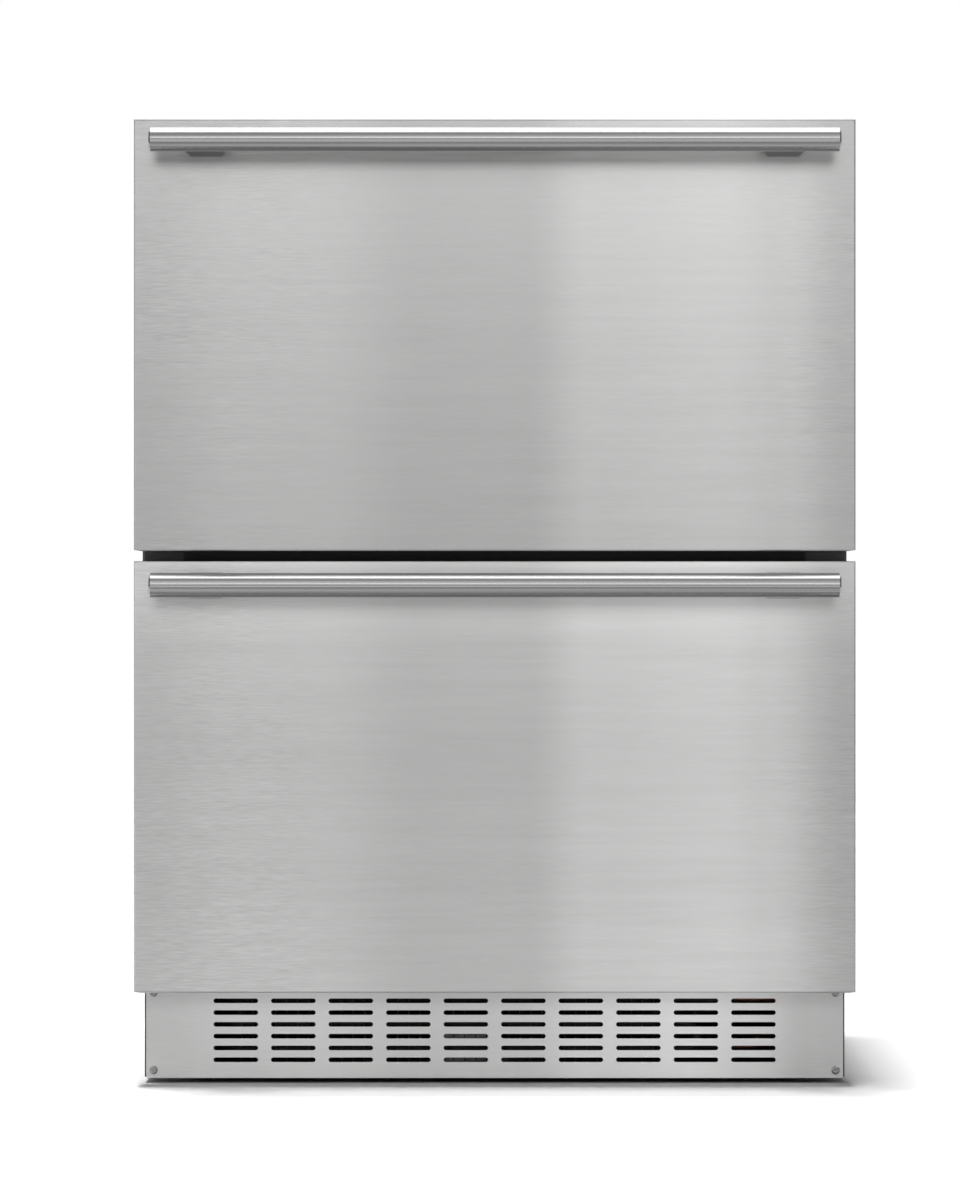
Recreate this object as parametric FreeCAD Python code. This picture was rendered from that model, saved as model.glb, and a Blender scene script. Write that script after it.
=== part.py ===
import FreeCAD, Part
import math
import os
from dataclasses import dataclass

# Two-drawer under-counter freezer, in millimetres.
# +X is right as seen from the front, the drawer fronts face -Y, +Z is up.
# The origin is on the floor, under the middle of the whole object.

V = FreeCAD.Vector

# Drawer fronts
FRONT_W = 596.0
FRONT_H = 356.6
FRONT_GAP = 8.3
FRONT_BOTTOM = 78.5
FRONT_T = 45.0
SKIN_T = 1.0
SKIN_BEND_R = 0.3
RELIEF_W = 6.0
RELIEF_H = 0.9
INNER_PANEL_T = 3.0
INNER_PANEL_INSET = 1.0
PLUG_DEPTH = 16.0
PLUG_GAP = 8.0
PLUG_CORNER_R = 14.0
PLUG_EDGE_R = 5.0

# Door seal
SEAL_GAP = 8.0
SEAL_CLEARANCE = 0.3
SEAL_W = 18.0
SEAL_LIP_W = 11.0
SEAL_FOOT_T = 3.5
SEAL_SIDE_INSET = 10.0
SEAL_MULLION_INSET = 2.0

# Handles
HANDLE_R = 10.0
HANDLE_INSET = 15.0
HANDLE_STANDOFF = 45.0
HANDLE_DROP = 20.0
HANDLE_CHAMFER = 1.3
POST_INSET = 45.0
POST_BAR_W = 38.0
POST_PANEL_W = 29.0
POST_BAR_H = 17.0
POST_PANEL_H = 22.0
POST_EDGE_R = 2.5
POST_FIT = 0.1
POST_SCREW_R = 2.4
POST_SCREW_HEAD_R = 4.5
POST_SCREW_HEAD_H = 3.5
POST_SCREW_L = 20.0
SCREW_CLEARANCE = 0.2

# Cabinet
CABINET_INSET = 4.0
CABINET_D = 530.0
TOP_CLEARANCE = 0.5
SHEET_T = 1.0
WRAP_FOLD_R = 2.5
WALL = 38.0
FLANGE_W = 34.5
REAR_FLANGE_W = 12.0
REAR_RECESS = 6.0
BASE_H = 84.0
FLOOR_WALL = 29.0
FRAME_T = 12.0
MULLION_H = 52.0
MULLION_D = 40.0
LINER_T = 2.0
BACK_WALL = 32.0
COUNTER_TAB_SPACING = 460.0
COUNTER_TAB_W = 30.0
COUNTER_TAB_L = 24.0
COUNTER_HOLE_R = 2.5
COUNTER_HOLE_REACH = 13.0

# Machine space behind and below the freezer space
MACHINE_D = 193.0
MACHINE_TOP = 231.0
HUMP_WALL = 34.0
PANEL_EDGE_GAP = 0.5
VENT_COLUMNS = 3
VENT_ROWS = 8
VENT_W = 64.0
VENT_H = 6.0
VENT_PITCH_X = 78.0
VENT_PITCH_Z = 18.0
VENT_X = 40.0
VENT_Z = 123.0

# Base, feet and kick grille
PAN_BOTTOM = 13.0
PAN_T = 1.2
BASE_SIDE_INSET = 2.0
APRON_BOTTOM = 5.0
FOOT_INSET_X = 44.0
FOOT_INSET_FRONT = 42.0
FOOT_INSET_REAR = 34.0
FOOT_PAD_R = 13.0
FOOT_PAD_H = 5.0
FOOT_PAD_EDGE_R = 1.0
FOOT_HEX_AF = 17.0
FOOT_STEM_R = 5.0
FOOT_STEM_TOP = 58.0
FOOT_CLEARANCE = 0.3
WELD_NUT_H = 10.0
WELD_NUT_AF = 19.0
GRILLE_INSET = 3.2
GRILLE_T = 1.2
GRILLE_BOTTOM = 4.1
GRILLE_TOP_GAP = 2.0
GRILLE_CORNER_R = 1.5
GRILLE_COLUMNS = 10
GRILLE_ROWS = 6
SLOT_L = 37.2
SLOT_H = 3.9
SLOT_PITCH_X = 48.0
SLOT_PITCH_Z = 9.84
SLOT_RISE = 39.8
PANEL_SCREW_R = 1.9
PANEL_SCREW_HEAD_R = 3.5
PANEL_SCREW_HEAD_H = 2.2
PANEL_SCREW_L = 8.0
GRILLE_SCREW_INSET_X = 6.2
GRILLE_SCREW_INSET_Z = 6.6
REAR_SCREW_INSET = 6.0
REAR_SCREW_RISE = 26.0
BASE_LIP_H = 18.0
COVER_SCREW_X = 150.0

# Drawer slides
SLIDE_L = 394.0
SLIDE_SETBACK = 2.0
SLIDE_H = 46.0
RAIL_T = 1.5
RAIL_DEPTH = 12.5
RAIL_WEB_GAP = 1.0
RACE_GAP = 4.5
BALL_CLEARANCE = 0.3
BALL_PITCH = 14.0
BALL_COUNT = 10
CAGE_T = 1.0
CAGE_W = 4.0
UPPER_SLIDE_RISE = 89.0
LOWER_SLIDE_RISE = 42.0

# Drawer bins and their side brackets
BIN_WALL = 2.5
BIN_CORNER_R = 12.0
BIN_FLOOR_GAP = 6.0
BIN_SIDE_GAP = 5.0
BIN_RIM = 2.5
BIN_RIM_H = 4.0
BIN_FRONT_GAP = 3.5
BIN_REAR_GAP = 9.0
BIN_HUMP_GAP = 13.0
UPPER_BIN_TOP_GAP = 43.0
LOWER_BIN_TOP_GAP = 15.0
BRACKET_T = 1.5
BRACKET_DROP = 16.0
BRACKET_SHELF_GAP = 1.0
BRACKET_FOOT_W = 42.0
BRACKET_GAP = 0.3

# Refrigeration
COMPRESSOR_OFFSET_X = 140.0
COMPRESSOR_W = 190.0
COMPRESSOR_D = 140.0
COMPRESSOR_TOP = 190.0
COMPRESSOR_CORNER_R = 66.0
COMPRESSOR_DOME_R = 40.0
COMPRESSOR_SEAM_T = 6.0
COMPRESSOR_SEAM_W = 4.0
COMPRESSOR_PLATE_W = 230.0
COMPRESSOR_PLATE_D = 150.0
COMPRESSOR_PLATE_T = 2.5
COMPRESSOR_PLATE_Z = 34.0
COMPRESSOR_STUB_L = 14.0
SUCTION_STUB_T = 1.0
SUCTION_RISE = 24.0
DISCHARGE_OFFSET_Y = 16.0
TERMINAL_BOX_W = 36.0
TERMINAL_BOX_D = 56.0
TERMINAL_BOX_H = 46.0
TERMINAL_BOX_REACH = 16.0
TERMINAL_BOX_RISE = 8.0
GROMMET_R = 11.0
GROMMET_NECK_R = 6.0
GROMMET_CAP_H = 4.0
GROMMET_INSET = 15.0
GROMMET_CAP_LIP = 2.0
TUBE_R = 4.0
LINE_R = 3.0
CAPILLARY_R = 1.5
DRIER_R = 10.0
DRIER_L = 110.0
LINE_BEND_R = 16.0
TUBE_CLEARANCE = 0.4
DISCHARGE_OFFSET_X = 12.0
LIQUID_OFFSET_X = 18.0
CONDENSER_W = 364.0
CONDENSER_OFFSET_X = 100.0
CONDENSER_SETBACK = 16.0
CONDENSER_TOP_GAP = 5.0
CONDENSER_D = 72.0
CONDENSER_FINS = 40
EVAPORATOR_W = 364.0
EVAPORATOR_D = 60.0
EVAPORATOR_H = 120.0
EVAPORATOR_FINS = 24
EVAPORATOR_SETBACK = 6.0
COIL_LEVELS = 3
FIN_T = 0.6
FIN_CLEARANCE = 0.3
COVER_T = 2.0
COVER_SETBACK = 75.0
COVER_CLEARANCE = 0.3
GUARD_BANDS = 3
GUARD_INNER_R = 16.0
GUARD_PITCH = 12.0
GUARD_GAP = 7.0
GUARD_SPOKE_W = 6.0
AIR_SLOT_W = 50.0
AIR_SLOT_H = 6.0
AIR_SLOT_PITCH = 62.0
AIR_SLOTS_EACH_SIDE = 3
AIR_SLOT_RISES = (26.0, 38.0)
AIR_SLOT_DROP = 30.0
TROUGH_W = 400.0
TROUGH_H = 16.0
TROUGH_T = 2.0
TROUGH_MARGIN = 3.0
SPOUT_R = 8.0
SPOUT_X = 100.0
SPOUT_DROP = 9.0
DRIP_PAN_W = 170.0
DRIP_PAN_D = 130.0
DRIP_PAN_H = 24.0

# Fans
CONDENSER_FAN_OFFSET_X = 120.0
CONDENSER_FAN_Z = 100.0
CONDENSER_FAN_R = 62.0
CONDENSER_HUB_R = 18.0
EVAPORATOR_FAN_Z = 520.0
EVAPORATOR_FAN_R = 50.0
EVAPORATOR_HUB_R = 14.0
FAN_TIP_GAP = 4.0
FAN_HUB_L = 16.0
FAN_BLADES = 5
FAN_BLADE_T = 1.6
FAN_BLADE_PITCH = 32.0
FAN_SHAFT_R = 3.0
FAN_SHAFT_CLEARANCE = 0.3
FAN_SETBACK = 8.0
FAN_BAR_GAP = 8.0
FAN_BAR_T = 2.0
FAN_BAR_H = 16.0
FAN_POST_W = 10.0
FAN_SHAFT_SEAT = 10.0
MOTOR_L = 30.0
MOTOR_R = 24.0
MOTOR_EDGE_R = 4.0
SHROUD_T = 1.5
SHROUD_MARGIN = 8.0
SHROUD_SETBACK = 8.0

# Controls
PANEL_W = 220.0
PANEL_D = 52.0
PANEL_H = 18.0
PANEL_LIP_H = 6.0
PANEL_SLOPE_D = 14.0
PANEL_SETBACK = 7.0
PANEL_EDGE_R = 1.5
LENS_W = 140.0
LENS_D = 18.0
LENS_H = 6.0
LENS_GAP = 12.0
LENS_EDGE_R = 3.5
CONTROL_BOX_W = 55.0
CONTROL_BOX_D = 120.0
CONTROL_BOX_H = 97.0
CONTROL_BOX_GAP = 8.0
CONTROL_BOX_EDGE_R = 4.0
CONTROL_LID_H = 19.0
LID_GROOVE = 1.5
INLET_Z = 96.0
INLET_W = 27.0
INLET_H = 20.0
INLET_FLANGE = 11.0
INLET_FLANGE_T = 2.5
INLET_DEPTH = 22.0
INLET_WALL = 2.5
INLET_FLOOR_T = 4.0
PIN_W = 2.0
PIN_H = 4.0
PIN_L = 10.0
PIN_SPACING = 7.0
PIN_DROP = 2.0

# Places worked out from the sizes above
DEPTH = HANDLE_R + HANDLE_STANDOFF + FRONT_T + SEAL_GAP + CABINET_D
BACK_Y = DEPTH / 2
FRAME_Y = BACK_Y - CABINET_D
FRONT_BACK_Y = FRAME_Y - SEAL_GAP
FACE_Y = FRONT_BACK_Y - FRONT_T
BAR_Y = FACE_Y - HANDLE_STANDOFF
FRONT_TOP = FRONT_BOTTOM + 2 * FRONT_H + FRONT_GAP
CABINET_TOP = FRONT_TOP + TOP_CLEARANCE + SHEET_T
CABINET_X = FRONT_W / 2 - CABINET_INSET
CAVITY_X = CABINET_X - WALL
CEILING_Z = CABINET_TOP - WALL
SILL_Z = BASE_H + FLOOR_WALL
MULLION_Z = FRONT_BOTTOM + FRONT_H + FRONT_GAP / 2
MULLION_LOW = MULLION_Z - MULLION_H / 2
MULLION_HIGH = MULLION_Z + MULLION_H / 2
LINER_Y = FRAME_Y + FRAME_T
REAR_Y = BACK_Y - REAR_RECESS
FLANGE_Y = REAR_Y - SHEET_T
LINER_BACK_Y = REAR_Y - BACK_WALL
MACHINE_Y = REAR_Y - MACHINE_D
HUMP_Y = MACHINE_Y - HUMP_WALL - LINER_T
HUMP_Z = MACHINE_TOP + SHEET_T + HUMP_WALL + LINER_T
COVER_Y = LINER_BACK_Y - COVER_SETBACK
PAN_TOP = PAN_BOTTOM + PAN_T
BASE_X = CABINET_X - BASE_SIDE_INSET
GRILLE_X = CABINET_X - GRILLE_INSET
GRILLE_TOP = BASE_H - GRILLE_TOP_GAP
FOOT_X = CABINET_X - FOOT_INSET_X
FOOT_YS = {"front": FRAME_Y + FOOT_INSET_FRONT, "rear": BACK_Y - FOOT_INSET_REAR}
PLUG_Y = FRONT_BACK_Y + PLUG_DEPTH
BAR_HALF_L = FRONT_W / 2 - HANDLE_INSET
POST_X = BAR_HALF_L - POST_INSET
SLIDE_Y = (LINER_Y + SLIDE_SETBACK, LINER_Y + SLIDE_SETBACK + SLIDE_L)
BALL_R = RACE_GAP / 2 - BALL_CLEARANCE
OUTER_WEB_X = CAVITY_X - RAIL_T
RAIL_X = CAVITY_X - RAIL_DEPTH
MIDDLE_WEB_X = OUTER_WEB_X - RAIL_WEB_GAP - RAIL_T
INNER_WEB_X = RAIL_X - RAIL_WEB_GAP - RAIL_T
OUTER_RACE = SLIDE_H / 2 - RAIL_T
MIDDLE_HALF_H = OUTER_RACE - RACE_GAP
MIDDLE_RACE = MIDDLE_HALF_H - RAIL_T
INNER_HALF_H = MIDDLE_RACE - RACE_GAP
BRACKET_X = INNER_WEB_X - BRACKET_T
SHELF_RISE = SLIDE_H / 2 + BRACKET_SHELF_GAP + BRACKET_T
BIN_LOW_X = BRACKET_X - BRACKET_GAP
BIN_TOP_X = CAVITY_X - BIN_SIDE_GAP
BIN_FRONT_Y = PLUG_Y + BIN_FRONT_GAP
BIN_REAR_Y = COVER_Y - BIN_REAR_GAP
COMPRESSOR_X = FOOT_X - COMPRESSOR_OFFSET_X
COMPRESSOR_Y = REAR_Y - MACHINE_D / 2
CONDENSER_FAN_X = CONDENSER_FAN_OFFSET_X - FOOT_X
DISCHARGE_X = FOOT_X + DISCHARGE_OFFSET_X
LIQUID_X = FOOT_X - LIQUID_OFFSET_X
SUCTION_X = FOOT_X


@dataclass(frozen=True)
class Drawer:
    """Heights that differ between the two drawers."""

    name: str
    front_z: float
    opening: tuple
    seal: tuple
    slide_z: float
    bin_z: tuple
    over_hump: bool


UPPER = Drawer(
    name="upper",
    front_z=FRONT_BOTTOM + FRONT_H + FRONT_GAP,
    opening=(MULLION_HIGH, CEILING_Z),
    seal=(FRONT_BOTTOM + FRONT_H + FRONT_GAP + SEAL_MULLION_INSET, FRONT_TOP - SEAL_SIDE_INSET),
    slide_z=MULLION_HIGH + BIN_FLOOR_GAP + UPPER_SLIDE_RISE,
    bin_z=(MULLION_HIGH + BIN_FLOOR_GAP, CEILING_Z - UPPER_BIN_TOP_GAP),
    over_hump=False,
)
LOWER = Drawer(
    name="lower",
    front_z=FRONT_BOTTOM,
    opening=(SILL_Z, MULLION_LOW),
    seal=(FRONT_BOTTOM + SEAL_SIDE_INSET, FRONT_BOTTOM + FRONT_H - SEAL_MULLION_INSET),
    slide_z=HUMP_Z + LOWER_SLIDE_RISE,
    bin_z=(SILL_Z + BIN_FLOOR_GAP, MULLION_LOW - LOWER_BIN_TOP_GAP),
    over_hump=True,
)


# Shapes used by many pieces


def box(x, y, z):
    """Box between the low and high values of each pair."""
    return Part.makeBox(x[1] - x[0], y[1] - y[0], z[1] - z[0], V(x[0], y[0], z[0]))


def wide_box(half_x, y, z):
    """Box that is centred on the middle plane of the object."""
    return box((-half_x, half_x), y, z)


def rod(start, axis, radius, length):
    """Cylinder from a start point along an axis."""
    return Part.makeCylinder(radius, length, V(*start), V(*axis))


def joined(shapes):
    """One solid from shapes that touch or overlap."""
    return shapes[0].fuse(shapes[1:]).removeSplitter()


def mirrored(shape):
    """The same shape on the other side of the middle plane."""
    return shape.mirror(V(0, 0, 0), V(1, 0, 0))


def both_sides(shapes):
    """Group of solids on the right and their mirror images on the left."""
    return Part.makeCompound(shapes + [mirrored(shape) for shape in shapes])


def edges_along(shape, axis):
    """Straight edges that run along an axis."""
    wanted = V(*axis)
    return [
        edge
        for edge in shape.Edges
        if abs(abs((edge.Vertexes[-1].Point - edge.Vertexes[0].Point).normalize().dot(wanted)) - 1) < 1e-6
    ]


def rounded_box(x, y, z, radius):
    """Box with its four upright edges rounded."""
    block = box(x, y, z)
    return block.makeFillet(radius, edges_along(block, (0, 0, 1)))


def folded_block(half_x, y, z, radius):
    """Block whose top and front edges are rounded, as a folded sheet's are."""
    block = wide_box(half_x, y, z)
    folds = [
        edge
        for edge in block.Edges
        if any(vertex.Z > z[0] + 1e-6 for vertex in edge.Vertexes)
        and any(vertex.Y < y[1] - 1e-6 for vertex in edge.Vertexes)
    ]
    return block.makeFillet(radius, folds)


def face_rounded(block, face_y, radius):
    """Round the edges of the face that lies at face_y."""
    edges = [edge for edge in block.Edges if all(abs(vertex.Y - face_y) < 1e-6 for vertex in edge.Vertexes)]
    return block.makeFillet(radius, edges)


def hexagon(center, across_flats, height):
    """Upright hexagonal prism."""
    corner_r = across_flats / math.sqrt(3)
    turns = [k * math.pi / 3 for k in range(7)]
    corners = [V(*center) + V(corner_r * math.cos(turn), corner_r * math.sin(turn), 0) for turn in turns]
    return Part.Face(Part.makePolygon(corners)).extrude(V(0, 0, height))


def ring(half_x, z, width, y):
    """Rectangular ring that lies in the plane of the drawer front."""
    hole = wide_box(half_x - width, (y[0] - 1, y[1] + 1), (z[0] + width, z[1] - width))
    return wide_box(half_x, y, z).cut(hole)


def side_profile(points, half_x):
    """Solid of a (y, z) outline drawn across the whole width."""
    outline = Part.makePolygon([V(-half_x, y, z) for y, z in points + points[:1]])
    return Part.Face(outline).extrude(V(2 * half_x, 0, 0))


def bent_tube(points, bend_r, radius):
    """Round bar along straight runs that are joined by tangent arcs."""
    corners = [V(*point) for point in points]
    edges = []
    here = corners[0]
    for before, corner, after in zip(corners, corners[1:], corners[2:]):
        to_corner = corner - before
        from_corner = after - corner
        reach = min(bend_r, to_corner.Length / 2, from_corner.Length / 2)
        inward = V(to_corner).normalize()
        outward = V(from_corner).normalize()
        start = corner - inward * reach
        end = corner + outward * reach
        center = start + outward * reach
        middle = center + (corner - center).normalize() * reach
        if (start - here).Length > 1e-6:
            edges.append(Part.LineSegment(here, start).toShape())
        edges.append(Part.Arc(start, middle, end).toShape())
        here = end
    edges.append(Part.LineSegment(here, corners[-1]).toShape())
    section = Part.Wire(Part.makeCircle(radius, corners[0], corners[1] - corners[0]))
    return Part.Wire(edges).makePipeShell([section], True, False)


def screw(head_seat, axis, head_r, head_h, shank_r, length):
    """Pan-head screw with a cross recess, its axis pointing from the tip to the head."""
    outward = V(*axis)
    seat = V(*head_seat)
    head = Part.makeCylinder(head_r, head_h, seat, outward)
    rim = [edge for edge in head.Edges if top_edge(edge, seat, outward, head_h)]
    head = head.makeFillet(head_h * 0.6, rim)
    shank = Part.makeCylinder(shank_r, length, seat - outward * length, outward)
    solid = joined([head, shank])
    side = V(1, 0, 0)
    across = outward.cross(side)
    for direction in (side, across):
        other = outward.cross(direction)
        arm = Part.makeBox(head_r * 1.1, head_r * 0.26, head_h, V(-head_r * 0.55, -head_r * 0.13, 0))
        frame = FreeCAD.Placement(FreeCAD.Matrix(
            direction.x, other.x, outward.x, seat.x + outward.x * head_h * 0.45,
            direction.y, other.y, outward.y, seat.y + outward.y * head_h * 0.45,
            direction.z, other.z, outward.z, seat.z + outward.z * head_h * 0.45,
        ))
        arm.Placement = frame
        solid = solid.cut(arm)
    return solid


def top_edge(edge, seat, outward, head_h):
    """Whether an edge of a screw head is the round one at its top."""
    return abs((edge.CenterOfMass - seat).dot(outward) - head_h) < 1e-6 and edge.Length > 1e-6


def panel_screw(head_seat, axis):
    """Screw of the grille and of the rear panels."""
    return screw(head_seat, axis, PANEL_SCREW_HEAD_R, PANEL_SCREW_HEAD_H, PANEL_SCREW_R, PANEL_SCREW_L)


def screw_holes(places, y):
    """Clearance holes along Y at (x, z) places."""
    return [rod((x, y[0], z), (0, 1, 0), PANEL_SCREW_R + SCREW_CLEARANCE, y[1] - y[0]) for x, z in places]


# Places of the panel screws, as (x, z)


def grille_screw_places():
    """The four corners of the kick grille."""
    x = GRILLE_X - GRILLE_SCREW_INSET_X
    heights = (GRILLE_BOTTOM + GRILLE_SCREW_INSET_Z, GRILLE_TOP - GRILLE_SCREW_INSET_Z)
    return [(side * x, z) for side in (-1, 1) for z in heights]


def back_panel_screw_places():
    """Round the edge of the upper rear panel."""
    x = CABINET_X - SHEET_T - REAR_SCREW_INSET
    low = MACHINE_TOP + REAR_SCREW_RISE
    high = CABINET_TOP - SHEET_T - REAR_SCREW_INSET
    sides = [(side * x, z) for side in (-1, 1) for z in (low, (low + high) / 2, high)]
    return sides + [(side * COVER_SCREW_X, high) for side in (-1, 1)]


def machine_cover_screw_places():
    """Beside the machine space, on the cabinet's rear flange."""
    x = CABINET_X - SHEET_T - REAR_SCREW_INSET
    heights = (BASE_H + REAR_SCREW_RISE, MACHINE_TOP - REAR_SCREW_RISE)
    return [(side * x, z) for side in (-1, 1) for z in heights]


def base_lip_screw_places():
    """Along the rear lip of the base pan."""
    return [(side * COVER_SCREW_X, PAN_TOP + BASE_LIP_H / 2) for side in (-1, 1)]


# Cabinet


def cabinet_wrap():
    """Folded outer sheet with front and rear flanges and two counter tabs."""
    inner_x = CABINET_X - SHEET_T
    inner_top = CABINET_TOP - SHEET_T
    shell = folded_block(CABINET_X, (FRAME_Y, BACK_Y), (BASE_H, CABINET_TOP), WRAP_FOLD_R)
    inside_y = (FRAME_Y + SHEET_T, BACK_Y + 1)
    shell = shell.cut(folded_block(inner_x, inside_y, (BASE_H - 1, inner_top), WRAP_FOLD_R - SHEET_T))
    mouth_z = (BASE_H - 1, CABINET_TOP - FLANGE_W)
    shell = shell.cut(wide_box(CABINET_X - FLANGE_W, (FRAME_Y - 1, FRAME_Y + 2 * SHEET_T), mouth_z))
    flange = wide_box(inner_x, (FLANGE_Y, REAR_Y), (BASE_H, inner_top))
    rear_mouth_z = (BASE_H - 1, inner_top - REAR_FLANGE_W)
    flange = flange.cut(wide_box(inner_x - REAR_FLANGE_W, (FLANGE_Y - 1, REAR_Y + 1), rear_mouth_z))
    pieces = [shell, flange]
    for side in (-1, 1):
        x = side * COUNTER_TAB_SPACING / 2
        tab = box(
            (x - COUNTER_TAB_W / 2, x + COUNTER_TAB_W / 2),
            (FRAME_Y - COUNTER_TAB_L, FRAME_Y + WRAP_FOLD_R),
            (inner_top, CABINET_TOP),
        )
        hole = rod((x, FRAME_Y - COUNTER_HOLE_REACH, inner_top - 1), (0, 0, 1), COUNTER_HOLE_R, SHEET_T + 2)
        pieces.append(tab.cut(hole))
    places = back_panel_screw_places() + machine_cover_screw_places()
    return joined(pieces).cut(screw_holes(places, (FLANGE_Y - 1, REAR_Y + 1)))


def liner_outline(grow):
    """(y, z) outline of the freezer space, grown outwards by a wall."""
    return [
        (LINER_Y, SILL_Z - grow),
        (HUMP_Y + grow, SILL_Z - grow),
        (HUMP_Y + grow, HUMP_Z - grow),
        (LINER_BACK_Y + grow, HUMP_Z - grow),
        (LINER_BACK_Y + grow, CEILING_Z + grow),
        (LINER_Y, CEILING_Z + grow),
    ]


def hump_passages():
    """Holes for the drain spout and the two refrigerant lines through the hump."""
    low = MACHINE_TOP - 1
    height = HUMP_Z + 1 - low
    spots = [
        (SPOUT_X, trough_middle_y(), SPOUT_R),
        (LIQUID_X, coil_rows(evaporator_y())[0], CAPILLARY_R),
        (SUCTION_X, coil_rows(evaporator_y())[1], TUBE_R),
    ]
    return [rod((x, y, low), (0, 0, 1), r + TUBE_CLEARANCE, height) for x, y, r in spots]


def cabinet_liner():
    """Moulded inner shell, open at the front, with a step over the machine space."""
    shell = side_profile(liner_outline(LINER_T), CAVITY_X + LINER_T)
    space = liner_outline(0)
    space[0] = (LINER_Y - 1, SILL_Z)
    space[-1] = (LINER_Y - 1, CEILING_Z)
    return shell.cut(side_profile(space, CAVITY_X)).cut(hump_passages())


def cabinet_foam():
    """Insulation between the outer sheet, the liner, the deck and the rear panel."""
    inner_x = CABINET_X - SHEET_T
    inner_top = CABINET_TOP - SHEET_T
    foam_y = (FRAME_Y + SHEET_T, FLANGE_Y)
    foam = folded_block(inner_x, foam_y, (BASE_H + SHEET_T, inner_top), WRAP_FOLD_R - SHEET_T)
    rear = wide_box(
        inner_x - REAR_FLANGE_W, (FLANGE_Y, REAR_Y), (MACHINE_TOP + SHEET_T, inner_top - REAR_FLANGE_W)
    )
    foam = joined([foam, rear])
    foam = foam.cut(side_profile(liner_outline(LINER_T), CAVITY_X + LINER_T))
    foam = foam.cut(wide_box(CABINET_X, (MACHINE_Y, BACK_Y), (BASE_H, MACHINE_TOP + SHEET_T)))
    frame_space = wide_box(CABINET_X - FLANGE_W, (FRAME_Y, LINER_Y), (BASE_H, CABINET_TOP - FLANGE_W))
    foam = foam.cut(frame_space)
    screws = screw_holes(back_panel_screw_places(), (REAR_Y - PANEL_SCREW_L, REAR_Y + 1))
    return foam.cut(hump_passages() + screws)


def front_frame():
    """Ladder frame round both drawer openings, with a deep mullion."""
    frame = wide_box(CABINET_X - FLANGE_W, (FRAME_Y, LINER_Y), (BASE_H, CABINET_TOP - FLANGE_W))
    for drawer in (UPPER, LOWER):
        frame = frame.cut(wide_box(CAVITY_X, (FRAME_Y - 1, LINER_Y + 1), drawer.opening))
    mullion = wide_box(CAVITY_X, (FRAME_Y, FRAME_Y + MULLION_D), (MULLION_LOW, MULLION_HIGH))
    return joined([frame, mullion])


def bottom_deck():
    """Bent sheet that closes the insulation from below and round the machine space."""
    outline = [
        (LINER_Y, BASE_H),
        (MACHINE_Y + SHEET_T, BASE_H),
        (MACHINE_Y + SHEET_T, MACHINE_TOP),
        (FLANGE_Y, MACHINE_TOP),
        (FLANGE_Y, MACHINE_TOP + SHEET_T),
        (MACHINE_Y, MACHINE_TOP + SHEET_T),
        (MACHINE_Y, BASE_H + SHEET_T),
        (LINER_Y, BASE_H + SHEET_T),
    ]
    return side_profile(outline, CABINET_X - SHEET_T).cut(hump_passages())


def back_panel():
    """Flat rear panel over the insulation."""
    z = (MACHINE_TOP + SHEET_T, CABINET_TOP - SHEET_T - PANEL_EDGE_GAP)
    panel = wide_box(CABINET_X - SHEET_T - PANEL_EDGE_GAP, (REAR_Y, REAR_Y + SHEET_T), z)
    top_corners = [edge for edge in edges_along(panel, (0, 1, 0)) if edge.CenterOfMass.z > z[1] - 1e-6]
    panel = panel.makeFillet(WRAP_FOLD_R, top_corners)
    return panel.cut(screw_holes(back_panel_screw_places(), (REAR_Y - 1, REAR_Y + SHEET_T + 1)))


def machine_cover():
    """Vented cover behind the machine space, with the power inlet's cut-out."""
    y = (REAR_Y, REAR_Y + SHEET_T)
    z = (PAN_BOTTOM, MACHINE_TOP + SHEET_T - PANEL_EDGE_GAP)
    cover = wide_box(CABINET_X - SHEET_T - PANEL_EDGE_GAP, y, z)
    cut_y = (REAR_Y - 1, REAR_Y + SHEET_T + 1)
    cover = cover.cut(screw_holes(machine_cover_screw_places() + base_lip_screw_places(), cut_y))
    vents = []
    for column in range(VENT_COLUMNS):
        for row in range(VENT_ROWS):
            x = VENT_X + (column - (VENT_COLUMNS - 1) / 2) * VENT_PITCH_X
            z = VENT_Z + (row - (VENT_ROWS - 1) / 2) * VENT_PITCH_Z
            vents.append(box((x - VENT_W / 2, x + VENT_W / 2), cut_y, (z - VENT_H / 2, z + VENT_H / 2)))
    inlet = box(inlet_x(SCREW_CLEARANCE), cut_y, inlet_z(SCREW_CLEARANCE))
    return cover.cut(vents + [inlet])


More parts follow.
